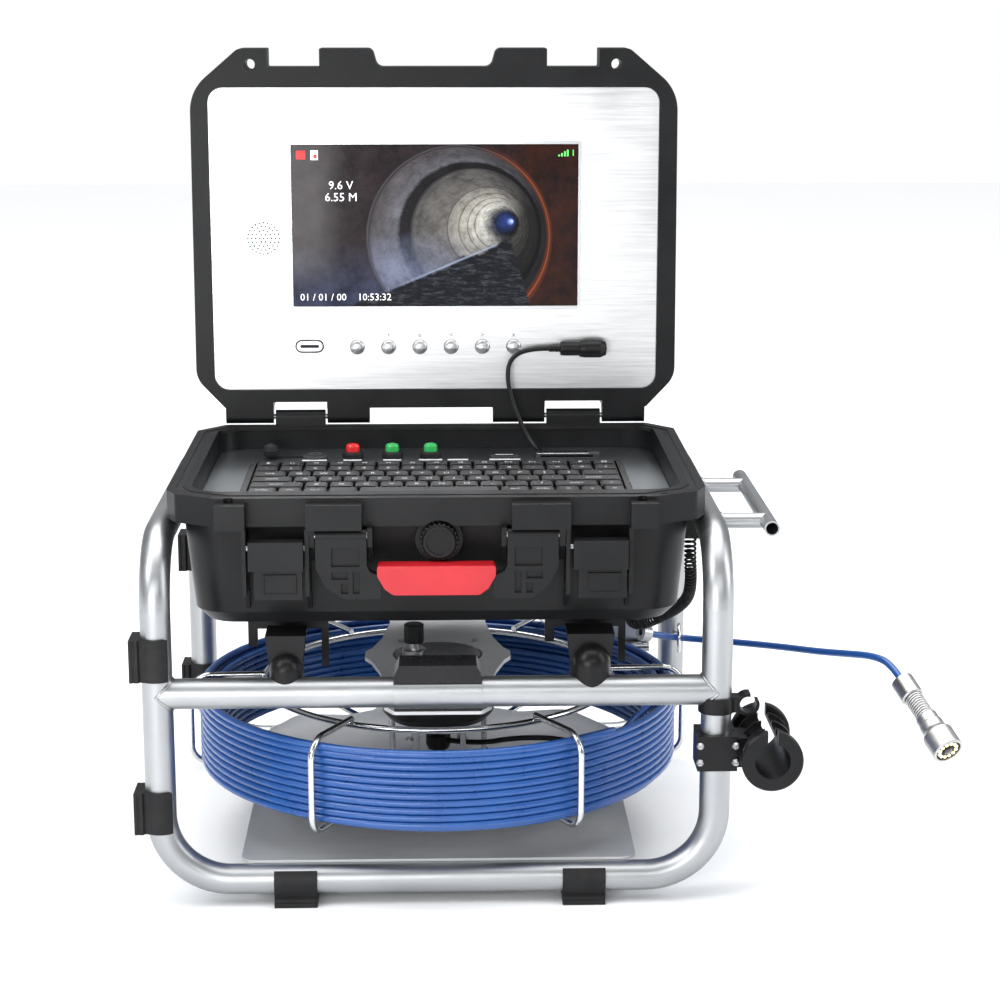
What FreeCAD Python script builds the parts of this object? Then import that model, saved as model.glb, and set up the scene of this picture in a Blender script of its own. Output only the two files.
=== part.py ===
"""Inspection camera: tube frame, free-spinning cable reel, monitor case and push-cable camera.

Millimetres. X runs to the right, Y from the front to the back, Z up. The working origin is the
middle of the front bottom tube; every piece is then shifted so that the assembly stands centred
over the floor.
"""
import FreeCAD, Part
import math
import os
from FreeCAD import Vector

DOC = FreeCAD.newDocument("InspectionCamera")
SHEET = DOC.addObject("Spreadsheet::Sheet", "Dims")

# Driving dimensions: name and value. Every one is a cell of the sheet with that name.
DIMENSIONS = [
    ("tube_dia", 21.3), ("tube_wall", 1.5), ("frame_width", 386.0), ("frame_depth", 310.0),
    ("bend_radius", 48.0), ("side_bar_height", 240.0), ("crossbar_height", 135.8),
    ("foot_length", 30.0), ("foot_reach", 17.5), ("foot_shell", 2.4),
    ("tray_half_width", 139.0), ("tray_thickness", 2.0),
    ("hub_plate_height", 114.5), ("hub_plate_thickness", 3.0), ("hub_disc_radius", 33.3),
    ("spindle_radius", 10.0), ("bearing_radius", 21.0), ("bearing_height", 9.0),
    ("bowl_radius", 42.5), ("bowl_top", 111.8), ("index_hole_radius", 3.1),
    ("leg_circle", 35.0), ("reel_wire", 4.5), ("ring_radius", 131.8), ("ring_height", 101.0),
    ("hoop_radius", 187.0), ("hoop_bottom", 36.0), ("hoop_top", 103.9),
    ("coil_outer", 180.0), ("coil_inner", 163.4), ("coil_bottom", 38.9), ("coil_height", 61.6),
    ("cable_dia", 5.5), ("curly_dia", 9.8), ("lid_cord_dia", 3.6),
    ("case_half_width", 187.5), ("case_front", 10.0), ("case_back", 284.0),
    ("rim_top", 270.8), ("rim_bottom", 250.8), ("case_bottom", 174.6), ("case_wall", 3.5),
    ("deck_height", 250.9), ("deck_thickness", 2.0),
    ("hinge_y", 285.0), ("hinge_z", 277.0), ("lid_face", 279.6), ("lid_depth", 30.0),
    ("screen_width", 222.7), ("screen_height", 125.3), ("screen_centre_z", 428.6),
    ("button_height", 333.0), ("button_radius", 5.6),
    ("handle_tube", 11.0), ("handle_reach", 235.0),
    ("latch_width", 37.6), ("camera_radius", 11.5),
    ("shift_x", 0.0), ("shift_y", 0.0), ("shift_z", 17.5),
]
for row, (name, value) in enumerate(DIMENSIONS, 1):
    SHEET.set("A%d" % row, name)
    SHEET.set("B%d" % row, str(value))
    SHEET.setAlias("B%d" % row, name)
DOC.recompute()
D = dict(DIMENSIONS)

NODES = []          # every sub-part handed on, in order
CORDS = set()       # sub-parts left out of the footprint
FASTENERS = []      # screws and pivot pins, kept together as one sub-part
DECK_RUBBER = []    # black rubber and plastic fittings of the deck
CENTRE_Y = D["frame_depth"] / 2
HALF_W = D["frame_width"] / 2
TUBE_R = D["tube_dia"] / 2


# ---------------------------------------------------------------- helpers

def place(obj, x=0.0, y=0.0, z=0.0, rotation=None):
    """Binds a sub-part's place to the sheet, so the whole assembly moves with three cells."""
    if rotation is not None:
        obj.Placement = FreeCAD.Placement(Vector(x, y, z), rotation)
    for axis, value in (("x", x), ("y", y), ("z", z)):
        obj.setExpression("Placement.Base." + axis, "Dims.shift_%s + (%.4f)" % (axis, value))
    return obj


def node(obj, x=0.0, y=0.0, z=0.0, rotation=None, cord=False):
    """Registers a finished object as a sub-part."""
    place(obj, x, y, z, rotation)
    NODES.append(obj)
    if cord:
        CORDS.add(obj.Label)
    return obj


def feature(label, shape, x=0.0, y=0.0, z=0.0, cord=False):
    """A sub-part made of bent wire, tube, lofts or several equal solids."""
    pieces = list(shape) if isinstance(shape, (list, tuple)) else [shape]
    shape = Part.makeCompound(pieces)
    obj = DOC.addObject("Part::Feature", label)
    obj.Label = label
    obj.Shape = shape
    return node(obj, x, y, z, cord=cord)


def origin_plane(body, role):
    for item in body.Origin.OriginFeatures:
        if item.Role == role:
            return item
    raise ValueError(role)


def rounded(points, radius):
    """Corner points -> list of ("line", a, b) and ("arc", a, mid, b) with rounded corners."""
    count = len(points)
    radii = radius if isinstance(radius, (list, tuple)) else [radius] * count
    corners = []
    for i, point in enumerate(points):
        here = Vector(point[0], point[1], 0)
        before = Vector(points[i - 1][0], points[i - 1][1], 0) - here
        after = Vector(points[(i + 1) % count][0], points[(i + 1) % count][1], 0) - here
        if radii[i] <= 0:
            corners.append((here, None, here))
            continue
        to_before, to_after = before / before.Length, after / after.Length
        half = before.getAngle(after) / 2
        cut = radii[i] / math.tan(half)
        middle = to_before + to_after
        middle = middle / middle.Length
        arc_mid = here + middle * (radii[i] / math.sin(half) - radii[i])
        corners.append((here + to_before * cut, arc_mid, here + to_after * cut))
    parts = []
    for i in range(count):
        start, mid, end = corners[i]
        if mid is not None:
            parts.append(("arc", start, mid, end))
        nxt = corners[(i + 1) % count][0]
        if (nxt - end).Length > 1e-6:
            parts.append(("line", end, nxt))
    return parts


def draw(sketch, points, radius=0.0):
    """Adds a closed outline to a sketch."""
    for part in rounded(points, radius):
        if part[0] == "line":
            sketch.addGeometry(Part.LineSegment(part[1], part[2]), False)
        else:
            sketch.addGeometry(Part.Arc(part[1], part[2], part[3]), False)


def new_sketch(body, label, plane, start):
    sketch = body.newObject("Sketcher::SketchObject", label)
    sketch.AttachmentSupport = [(origin_plane(body, plane), "")]
    sketch.MapMode = "FlatFace"
    sketch.AttachmentOffset = FreeCAD.Placement(Vector(0, 0, start), FreeCAD.Rotation())
    return sketch


def slab(label, outline, depth, plane="XY_Plane", start=0.0, corner=0.0, round_holes=(), holes=()):
    """A body padded from one outline; round_holes are (x, y, radius), holes are (points, radius).

    On XZ_Plane the pad runs towards the front and start is minus the back face's Y.
    """
    body = DOC.addObject("PartDesign::Body", label)
    sketch = new_sketch(body, label + "_outline", plane, start)
    draw(sketch, outline, corner)
    for x, y, radius in round_holes:
        sketch.addGeometry(Part.Circle(Vector(x, y, 0), Vector(0, 0, 1), radius), False)
    for points, radius in holes:
        draw(sketch, points, radius)
    pad = body.newObject("PartDesign::Pad", label + "_pad")
    pad.Profile = sketch
    pad.Length = depth
    body.Tip = pad
    sketch.Visibility = False
    return body


def turned(label, profile):
    """A body of revolution about its own Z axis; profile points are (radius, height)."""
    body = DOC.addObject("PartDesign::Body", label)
    sketch = new_sketch(body, label + "_profile", "XZ_Plane", 0.0)
    draw(sketch, profile)
    spin = body.newObject("PartDesign::Revolution", label + "_turn")
    spin.Profile = sketch
    spin.ReferenceAxis = (sketch, ["V_Axis"])
    spin.Angle = 360.0
    body.Tip = spin
    sketch.Visibility = False
    return body


def rectangle(x0, x1, y0, y1):
    return [(x0, y0), (x1, y0), (x1, y1), (x0, y1)]


def box(x0, x1, y0, y1, z0, z1):
    return Part.makeBox(x1 - x0, y1 - y0, z1 - z0, Vector(x0, y0, z0))


def rod(start, end, radius):
    start, end = Vector(*start), Vector(*end)
    return Part.makeCylinder(radius, (end - start).Length, start, end - start)


def lathe(profile, start=(0, 0, 0), direction=(0, 0, 1)):
    """A turned shape; its Z axis is laid along direction from start."""
    points = [Vector(r, 0, h) for r, h in profile]
    face = Part.Face(Part.makePolygon(points + points[:1]))
    shape = face.revolve(Vector(0, 0, 0), Vector(0, 0, 1), 360)
    turn = FreeCAD.Rotation(Vector(0, 0, 1), Vector(*direction))
    shape.Placement = FreeCAD.Placement(Vector(*start), turn)
    return shape


def prism(points, radius, low, high, plane="XY"):
    """An extruded shape between two heights (XY) or two depths (XZ) or two sides (YZ)."""
    edges = []
    for part in rounded(points, radius):
        if part[0] == "line":
            edges.append(Part.makeLine(part[1], part[2]))
        else:
            edges.append(Part.Arc(part[1], part[2], part[3]).toShape())
    face = Part.Face(Part.Wire(edges))
    shape = face.extrude(Vector(0, 0, high - low))
    if plane == "XY":
        shape.translate(Vector(0, 0, low))
    elif plane == "XZ":
        shape.rotate(Vector(0, 0, 0), Vector(1, 0, 0), 90)
        shape.translate(Vector(0, high, 0))
    else:
        shape.rotate(Vector(0, 0, 0), Vector(1, 0, 0), 90)
        shape.rotate(Vector(0, 0, 0), Vector(0, 0, 1), 90)
        shape.translate(Vector(low, 0, 0))
    return shape


def path_of(points, radii):
    """A wire of straight runs and tangent arcs through corner points."""
    points = [Vector(*p) for p in points]
    edges = []
    here = points[0]
    for i in range(1, len(points) - 1):
        back = points[i - 1] - points[i]
        ahead = points[i + 1] - points[i]
        half = back.getAngle(ahead) / 2
        radius = radii[i - 1]
        cut = radius / math.tan(half)
        start = points[i] + back / back.Length * cut
        end = points[i] + ahead / ahead.Length * cut
        middle = back / back.Length + ahead / ahead.Length
        middle = middle / middle.Length
        mid = points[i] + middle * (radius / math.sin(half) - radius)
        if (start - here).Length > 1e-6:
            edges.append(Part.makeLine(here, start))
        edges.append(Part.Arc(start, mid, end).toShape())
        here = end
    if (points[-1] - here).Length > 1e-6:
        edges.append(Part.makeLine(here, points[-1]))
    return Part.Wire(edges)


def bent(points, radii, radius):
    """A round bar bent along straight runs and arcs."""
    wire = path_of(points, radii)
    first = Vector(*points[1]) - Vector(*points[0])
    ring = Part.Wire([Part.Circle(Vector(*points[0]), first, radius).toShape()])
    pipe = wire.makePipeShell([ring], True, False)
    return pipe if pipe.isValid() else wire.makePipe(Part.Face(ring))


def bent_tube(points, radii, radius, wall):
    return bent(points, radii, radius).cut(bent(points, radii, radius - wall))


def cord(label, points, diameter):
    """A cord along its route: each bend takes 0.45 of the shorter run beside it."""
    radii = []
    for i in range(1, len(points) - 1):
        back = Vector(*points[i - 1]) - Vector(*points[i])
        ahead = Vector(*points[i + 1]) - Vector(*points[i])
        half_turn = (math.pi - back.getAngle(ahead)) / 2
        radii.append(0.45 * min(back.Length, ahead.Length) / math.tan(half_turn))
    shape = bent(points, radii, diameter / 2)
    wanted = math.pi * (diameter / 2) ** 2 * path_of(points, radii).Length
    print(label, "radii", [round(r, 1) for r in radii], "volume ratio", round(shape.Volume / wanted, 4))
    return feature(label, shape, cord=True)


def turned_about(shape, angle):
    """A copy of shape turned about the reel's own axis."""
    copy = shape.copy()
    copy.rotate(Vector(0, CENTRE_Y, 0), Vector(0, 0, 1), angle)
    return copy


def mirrored_y(shape):
    return shape.mirror(Vector(0, CENTRE_Y, 0), Vector(0, 1, 0))


# ---------------------------------------------------------------- tube frame

SIDE_Z = D["side_bar_height"]
loop_points = [
    (-HALF_W, CENTRE_Y, SIDE_Z), (-HALF_W, 0, SIDE_Z), (-HALF_W, 0, 0),
    (HALF_W, 0, 0), (HALF_W, 0, SIDE_Z), (HALF_W, CENTRE_Y, SIDE_Z),
]
loop_radii = [45.0, D["bend_radius"], D["bend_radius"], 45.0]
front_loop = bent_tube(loop_points, loop_radii, TUBE_R, D["tube_wall"])
feature("frame_loops", [front_loop, mirrored_y(front_loop)])

CROSS_Z = D["crossbar_height"]
crossbar = rod((-HALF_W, 0, CROSS_Z), (HALF_W, 0, CROSS_Z), TUBE_R)
crossbar = crossbar.cut(rod((-HALF_W, 0, CROSS_Z), (HALF_W, 0, CROSS_Z), TUBE_R - D["tube_wall"]))
for side in (-1, 1):
    crossbar = crossbar.cut(rod((side * HALF_W, 0, 60), (side * HALF_W, 0, 200), TUBE_R))
crossbar = max(crossbar.Solids, key=lambda s: s.Volume)
feature("crossbars", [crossbar, mirrored_y(crossbar)])

sleeve = rod((-30.5, 0, CROSS_Z), (30.5, 0, CROSS_Z), TUBE_R + 0.9)
sleeve = sleeve.cut(rod((-31, 0, CROSS_Z), (31, 0, CROSS_Z), TUBE_R))
feature("crossbar_sleeves", [sleeve, mirrored_y(sleeve)])

# Cross-section of the rubber foot: a C that grips the tube, with a flat pad and two side grooves.
FOOT = D["foot_reach"]
grip_r = TUBE_R + D["foot_shell"]


def foot_at(centre, along, outward):
    """A foot of the clip section centred on a tube point; along and outward are unit vectors."""
    pad_outline = [(-12.2, -FOOT), (12.2, -FOOT), (12.2, -FOOT + 6), (10.2, -FOOT + 7.2),
                   (grip_r, 0), (-grip_r, 0), (-10.2, -FOOT + 7.2), (-12.2, -FOOT + 6)]
    half = D["foot_length"] / 2
    section = prism(pad_outline, 0, -half, half)
    section = section.fuse(Part.makeCylinder(grip_r, 2 * half, Vector(0, 0, -half)))
    section = section.cut(Part.makeCylinder(TUBE_R, 2 * half, Vector(0, 0, -half)))
    mouth = prism([(-8.5, 6.5), (8.5, 6.5), (12, 16), (-12, 16)], 0, -half, half)
    section = section.cut(mouth)
    for side in (-1, 1):
        groove = Part.makeCylinder(1.2, 2 * half, Vector(side * 12.8, -FOOT + 3, -half))
        section = section.cut(groove)
    turn = FreeCAD.Rotation(outward.cross(along) * -1, outward * -1, along, "ZYX")
    section.Placement = FreeCAD.Placement(centre, turn)
    return section


feet = []
for y in (0.0, D["frame_depth"]):
    for x in (-100.0, 101.5):
        feet.append(foot_at(Vector(x, y, 0), Vector(1, 0, 0), Vector(0, 0, -1)))
    for z in (52.5, 162.0):
        feet.append(foot_at(Vector(-HALF_W, y, z), Vector(0, 0, 1), Vector(-1, 0, 0)))
solid_loop = bent(loop_points, loop_radii, TUBE_R)
solid_loops = solid_loop.fuse(mirrored_y(solid_loop))
feature("tube_feet", [max(foot.cut(solid_loops).Solids, key=lambda s: s.Volume) for foot in feet])

TRAY_W = D["tray_half_width"]
tray = slab("base_tray", rectangle(-TRAY_W, TRAY_W, 2, D["frame_depth"] - 2), D["tray_thickness"],
            corner=10.0)
tray.Tip.setExpression("Length", "Dims.tray_thickness")
node(tray, z=TUBE_R)

# Carrying bar on the right side: two posts and a cross grip open at both ends.
HANDLE_X = D["handle_reach"]
handle_r = D["handle_tube"] / 2
posts = []
for y in (68.0, 187.0):
    post = rod((HALF_W + 4, y, SIDE_Z), (HANDLE_X, y, SIDE_Z), handle_r)
    post = post.cut(rod((HALF_W, y - 30, SIDE_Z), (HALF_W, y + 30, SIDE_Z), TUBE_R))
    post = post.cut(rod((HANDLE_X, y - 30, SIDE_Z), (HANDLE_X, y + 30, SIDE_Z), handle_r))
    posts.append(max(post.Solids, key=lambda s: s.Volume))
grip = rod((HANDLE_X, 41.6, SIDE_Z), (HANDLE_X, 218, SIDE_Z), handle_r)
grip = grip.cut(rod((HANDLE_X, 41, SIDE_Z), (HANDLE_X, 219, SIDE_Z), handle_r - 1.2))
feature("side_handle", posts + [grip])

# ---------------------------------------------------------------- hub hung between the crossbars

PLATE_Z = D["hub_plate_height"]
PLATE_TOP = PLATE_Z + D["hub_plate_thickness"]
top_of_sleeve = CROSS_Z + TUBE_R + 0.9
block = prism([(-9, top_of_sleeve - 3), (-9, 157), (17, 157), (17, 121), (31, 121), (31, PLATE_TOP),
               (12.3, PLATE_TOP), (12.3, top_of_sleeve - 3)], 0, -30.5, 30.5, "YZ")
block = block.cut(rod((-40, 0, CROSS_Z), (40, 0, CROSS_Z), TUBE_R + 0.9))
for side in (-1, 1):
    wedge = prism([(side * 26.5, 157.5), (side * 31, 157.5), (side * 31, 147)], 0, -12, 34, "XZ")
    block = block.cut(wedge)
feature("bridge_brackets", [block, mirrored_y(block)])

half_outline = [(-141.0, 31.0), (-129.0, 38.0), (-87.0, 38.0), (-44.0, 43.0), (-17.0, 50.0),
                (-7.0, 55.0), (7.0, 55.0), (17.0, 50.0), (44.0, 43.0), (87.0, 38.0),
                (129.0, 38.0), (141.0, 31.0)]
hub_outline = [(w, CENTRE_Y + d) for d, w in half_outline]
hub_outline += [(-w, CENTRE_Y + d) for d, w in reversed(half_outline)]
screw_spots = [(sx * 28.5, CENTRE_Y + sy * 33.4) for sx in (-1, 1) for sy in (-1, 1)]
bracket_spots = [(sx * 20.0, CENTRE_Y + sy * 131.0) for sx in (-1, 1) for sy in (-1, 1)]
plate = slab("hub_plate", hub_outline, D["hub_plate_thickness"], corner=4.0,
             round_holes=[(0, CENTRE_Y, D["hub_disc_radius"] + 0.6)])
plate.Tip.setExpression("Length", "Dims.hub_plate_thickness")
node(plate, z=PLATE_Z)

screws = []
for x, y in screw_spots:
    head = Part.makeCylinder(2.2, 1.6, Vector(x, y, PLATE_TOP))
    screws.append(head.cut(box(x - 2.5, x + 2.5, y - 0.4, y + 0.4, PLATE_TOP + 0.9, PLATE_TOP + 2)))
for x, y in bracket_spots:
    head = lathe([(0, 0), (4.6, 0), (4.2, 1.8), (2.6, 2.8), (0, 2.8)], (x, y, 121.0))
    socket = Part.makeCylinder(1.6, 2.0, Vector(x, y, 122.4))
    screws.append(head.cut(socket))
FASTENERS += screws

DISC_R = D["hub_disc_radius"]
PLUNGER = (-17.8, 135.0)
spindle_r = D["spindle_radius"]
spindle = turned("hub_spindle", [
    (0, 79), (spindle_r - 1, 79), (spindle_r, 80), (spindle_r, 108.6), (13, 108.6), (13, 112.3),
    (48, 112.3), (48, PLATE_Z), (DISC_R, PLATE_Z), (DISC_R, PLATE_TOP - 1), (DISC_R - 1, PLATE_TOP),
    (0, PLATE_TOP)])
pin_hole = new_sketch(spindle, "pin_hole_outline", "XY_Plane", 120.0)
pin_hole.addGeometry(Part.Circle(Vector(PLUNGER[0], PLUNGER[1] - CENTRE_Y, 0), Vector(0, 0, 1), 3.4), False)
pin_pocket = spindle.newObject("PartDesign::Pocket", "pin_hole")
pin_pocket.Profile = pin_hole
pin_pocket.Type = "ThroughAll"
pin_pocket.Midplane = True
spindle.Tip = pin_pocket
node(spindle, 0, CENTRE_Y)

bearing_r, bearing_h = D["bearing_radius"], D["bearing_height"]
bearings = []
for low in (80.5, 99.0):
    bearings.append(lathe([
        (spindle_r, low), (13.4, low), (13.4, low + 0.7), (17.6, low + 0.7), (17.6, low),
        (bearing_r - 0.05, low), (bearing_r - 0.05, low + bearing_h), (17.6, low + bearing_h),
        (17.6, low + bearing_h - 0.7), (13.4, low + bearing_h - 0.7), (13.4, low + bearing_h),
        (spindle_r, low + bearing_h)], (0, CENTRE_Y, 0)))
feature("bearings", bearings)

# Pull plunger that stops the reel; drawn parked, with its pin clear of the bowl.
barrel = turned("plunger_barrel", [
    (3.1, PLATE_TOP), (8.7, PLATE_TOP), (8.7, 127.2), (7.9, 128.2), (4.8, 128.2),
    (4.8, 132.0), (3.1, 132.0)])
node(barrel, PLUNGER[0], PLUNGER[1])
knob = turned("plunger_knob", [
    (0, 112.4), (2.4, 112.4), (3.02, 113.4), (3.02, 133.0), (7.4, 133.0),
    (7.4, 145.4), (6.4, 146.4), (0, 146.4)])
node(knob, PLUNGER[0], PLUNGER[1])

# ---------------------------------------------------------------- reel

BOWL_R, BOWL_TOP = D["bowl_radius"], D["bowl_top"]
bowl = lathe([
    (bearing_r, BOWL_TOP), (BOWL_R - 1, BOWL_TOP), (BOWL_R, BOWL_TOP - 1), (BOWL_R, 75.0),
    (38.0, 70.0), (12.0, 60.5), (0, 60.5), (0, 65.0), (17.0, 65.0), (bearing_r, 68.0)],
    (0, CENTRE_Y, 0))
pin_circle = math.hypot(PLUNGER[0], PLUNGER[1] - CENTRE_Y)
pin_angle = math.atan2(PLUNGER[0], PLUNGER[1] - CENTRE_Y)
for step in range(12):
    angle = pin_angle + math.radians(30 * step)
    spot = Vector(pin_circle * math.sin(angle), CENTRE_Y + pin_circle * math.cos(angle), BOWL_TOP - 8)
    bowl = bowl.cut(Part.makeCylinder(D["index_hole_radius"], 10, spot))
leg_r = D["reel_wire"] / 2
for step in range(6):
    angle = math.radians(60 * step + 32)
    spot = Vector(D["leg_circle"] * math.sin(angle), CENTRE_Y - D["leg_circle"] * math.cos(angle), 60)
    bowl = bowl.cut(Part.makeCylinder(leg_r, 18, spot))
feature("reel_bowl", bowl)

slip = lathe([(0, 65.0), (15.5, 65.0), (15.5, 74.0), (9.0, 74.0), (9.0, 77.5), (0, 77.5)], (0, CENTRE_Y, 0))
gland = lathe([(0, 41.0), (4.0, 41.0), (8.0, 43.0), (9.4, 46.5), (9.4, 54.0), (6.0, 54.0),
               (6.0, 60.5), (0, 60.5)], (0, CENTRE_Y, 0))
feature("slip_ring", [slip, gland])


def reel_point(radius, angle, height):
    """A point on the reel; angle is measured from the front towards the right."""
    turn = math.radians(angle)
    return (radius * math.sin(turn), CENTRE_Y - radius * math.cos(turn), height)


hoops = []
HOOP_R, HOOP_LOW, HOOP_TOP = D["hoop_radius"], D["hoop_bottom"], D["hoop_top"]
RING_R, RING_Z = D["ring_radius"], D["ring_height"]
for step in range(6):
    angle = 60 * step + 32
    hoops.append(bent(
        [reel_point(D["leg_circle"], angle, 78), reel_point(D["leg_circle"], angle, HOOP_LOW),
         reel_point(HOOP_R, angle, HOOP_LOW), reel_point(HOOP_R, angle, HOOP_TOP),
         reel_point(RING_R - 1.0, angle, HOOP_TOP)], [9.0, 12.0, 15.0], leg_r))
ring = Part.makeTorus(RING_R, leg_r + 0.15, Vector(0, CENTRE_Y, RING_Z - 1.0))
trimmed = []
for hoop in hoops:
    trimmed.append(hoop.cut(ring))
feature("reel_cage", [max(h.Solids, key=lambda s: s.Volume) for h in trimmed] + [ring])

lobes = []
for step in range(6):
    for offset, radius in ((-24, 118), (-13, 148), (13, 148), (24, 118)):
        point = reel_point(radius, 60 * step + 2 + offset, 0)
        lobes.append((point[0], point[1]))
leg_holes = []
for step in range(6):
    point = reel_point(D["leg_circle"] + 2, 60 * step + 32, 0)
    leg_holes.append((point[0], point[1], leg_r + 3.6))
floor_plate = slab("reel_plate", lobes, 1.5, corner=[10, 16, 16, 10] * 6, round_holes=leg_holes)
node(floor_plate, z=HOOP_LOW + leg_r)

coil_in, coil_out = D["coil_inner"], D["coil_outer"]
coil_low, coil_high = D["coil_bottom"], D["coil_bottom"] + D["coil_height"]
coil = lathe([
    (coil_in, coil_low + 2), (coil_in + 2, coil_low), (coil_out - 2, coil_low), (coil_out, coil_low + 2),
    (coil_out, coil_high - 3), (coil_out - 3, coil_high), (coil_in + 2, coil_high),
    (coil_in, coil_high - 2)], (0, CENTRE_Y, 0))
feature("push_cable_coil", coil, cord=True)

# Inner end of the push cable: from the gland to the inside of the coil.
hub_lead = [(8.5, CENTRE_Y - 4.5, 50.0), (30.9, CENTRE_Y - 16.4, 51.0), (58, CENTRE_Y - 29, 60.0),
            (92, CENTRE_Y - 43, 64.0), (119, CENTRE_Y - 62, 60.0), (138.0, CENTRE_Y - 83, 58.0)]
cord("hub_lead", hub_lead, 4.0)

# ---------------------------------------------------------------- cable guide, eyelet, free lead

DEPTH = D["frame_depth"]
guide = prism([(DEPTH - 17, 80), (DEPTH - 14, 80), (DEPTH - 14, CROSS_Z - 6), (DEPTH - 17, CROSS_Z - 6)],
              0, 142, 173, "YZ")
guide = guide.fuse(box(142, 173, 285, DEPTH - 14, 80, 83))
guide = guide.fuse(rod((142, DEPTH, CROSS_Z), (173, DEPTH, CROSS_Z), TUBE_R + 2.5))
guide = guide.fuse(box(150, 166, 288, DEPTH - 17, 99, 115))
guide = guide.fuse(box(168.4, 172, 281, DEPTH - 16, 90, 106))
guide = guide.cut(rod((140, DEPTH, CROSS_Z), (175, DEPTH, CROSS_Z), TUBE_R))
lead_start, lead_next = Vector(168.0, 273.0, 99.0), Vector(181.0, 279.5, 95.0)
lead_way = (lead_next - lead_start) / (lead_next - lead_start).Length
eye_back = lead_start - lead_way * 4.0
eye = Part.makeCylinder(6.6, 8.0, eye_back, lead_way)
bore = Part.makeCylinder(D["cable_dia"] / 2, 60, eye_back - lead_way * 20, lead_way)
guide = guide.fuse(eye).fuse(rod((170.2, 277, 98), (170.2, 283, 98), 4.0)).cut(bore)
feature("cable_guide", max(guide.Solids, key=lambda s: s.Volume))
roller = rod((142, 287.5, 85.4), (173, 287.5, 85.4), 2.4)

eyelet_centre = Vector(197.0, 283.5, 92.0)
eyelet = Part.makeTorus(10.5, 1.6, eyelet_centre, Vector(1, -0.1, 0))
stem = rod((197.0, 283.5 + 10.4, 92.0), (194.5, DEPTH - TUBE_R + 0.6, 92.0), 1.6)
stem = stem.cut(rod((HALF_W, DEPTH, 60), (HALF_W, DEPTH, 140), TUBE_R))
feature("cable_eyelet", [eyelet.fuse(max(stem.Solids, key=lambda s: s.Volume)), roller])

CAMERA_FACE = Vector(364.9, 35.0, 77.0)
CAMERA_BACK = Vector(340.3, 93.0, 114.0)
camera_way = (CAMERA_FACE - CAMERA_BACK) / (CAMERA_FACE - CAMERA_BACK).Length
lead_route = [tuple(lead_start), (184.5, 281.0, 94.0), (205.0, 281.5, 91.5), (228.0, 267.0, 93.5),
              (250.0, 241.0, 98.5), (272.0, 208.0, 105.0), (293.0, 173.0, 111.5),
              (312.0, 142.0, 118.5), (324.5, 121.5, 123.0), (334.8, 106.0, 122.2), tuple(CAMERA_BACK)]
cord("push_cable_lead", lead_route, D["cable_dia"])

CAM_R = D["camera_radius"]


def on_camera(profile):
    """Turned piece on the camera's own axis; heights run from the cable end to the face."""
    return lathe(profile, tuple(CAMERA_BACK), tuple(camera_way))


CAM_LEN = (CAMERA_FACE - CAMERA_BACK).Length
collar = on_camera([(0, 0), (4.2, 0), (6.4, 2.5), (8.6, 3.0), (8.6, 19.0), (7.6, 20.0), (0, 20.0)])
coils = [(0, 20.0)]
for turn in range(9):
    low = 20.0 + turn * 2.2
    coils += [(6.4, low), (7.3, low + 0.5), (7.3, low + 1.7), (6.4, low + 2.2)]
coils += [(0, 20.0 + 9 * 2.2)]
feature("camera_spring", on_camera(coils), cord=True)
head_low = 20.0 + 9 * 2.2
head = on_camera([
    (0, head_low), (8.2, head_low), (8.2, head_low + 6), (8.9, head_low + 7), (8.9, head_low + 13),
    (CAM_R, head_low + 17), (CAM_R, CAM_LEN - 0.6), (CAM_R - 0.6, CAM_LEN), (9.6, CAM_LEN),
    (9.6, CAM_LEN - 2.0), (0, CAM_LEN - 2.0)])
feature("camera_housing", [collar, head], cord=True)
led_board = on_camera([
    (3.6, CAM_LEN - 2.0), (9.6, CAM_LEN - 2.0), (9.6, CAM_LEN - 1.2), (3.6, CAM_LEN - 1.2)])
lens = on_camera([(0, CAM_LEN - 2.0), (3.6, CAM_LEN - 2.0), (3.6, CAM_LEN - 0.7), (2.6, CAM_LEN - 0.4),
                  (0, CAM_LEN - 0.2)])
leds = []
side_way = camera_way.cross(Vector(0, 0, 1))
side_way = side_way / side_way.Length
up_way = side_way.cross(camera_way)
for step in range(12):
    turn = math.radians(30 * step)
    spot = CAMERA_BACK + camera_way * (CAM_LEN - 1.2)
    spot = spot + side_way * (6.7 * math.cos(turn)) + up_way * (6.7 * math.sin(turn))
    leds.append(Part.makeCylinder(1.25, 0.9, spot, camera_way))
feature("camera_face", [led_board, lens] + leds, cord=True)

# ---------------------------------------------------------------- camera holder on the right upright

HOLDER = Vector(228.2, 0, 94.5)
holder = lathe([
    (12.2, -35), (20.3, -35), (21.3, -34), (21.3, -29), (20.3, -28), (15.4, -28), (15.4, 28),
    (20.3, 28), (21.3, 29), (21.3, 34), (20.3, 35), (12.2, 35)], tuple(HOLDER), (0, 1, 0))
holder = holder.cut(box(HOLDER.x - 3.6, HOLDER.x + 3.6, -36, 36, HOLDER.z, HOLDER.z + 24))
for y in (-18, 0, 18):
    rib = lathe([(15, -1), (18.6, -1), (18.6, 1), (15, 1)], (HOLDER.x, y, HOLDER.z), (0, 1, 0))
    holder = holder.fuse(rib.cut(box(HOLDER.x - 3.6, HOLDER.x + 3.6, -36, 36, HOLDER.z, HOLDER.z + 24)))
neck = box(HALF_W + 13.6, HOLDER.x - 13.5, -12, 12, 83, 104)
neck = neck.cut(rod((HOLDER.x, -40, HOLDER.z), (HOLDER.x, 40, HOLDER.z), 12.2))
holder = holder.fuse(neck)
feature("camera_holder", holder)
clamp = box(HALF_W - 14, HALF_W + 13.6, -14.5, 14.5, 81, 106)
clamp = clamp.cut(rod((HALF_W, 0, 80), (HALF_W, 0, 110), TUBE_R))
clamp = clamp.cut(box(HALF_W - 15, HALF_W + 14, -0.6, 0.6, 80, 110))
clamps = clamp.Solids
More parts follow.
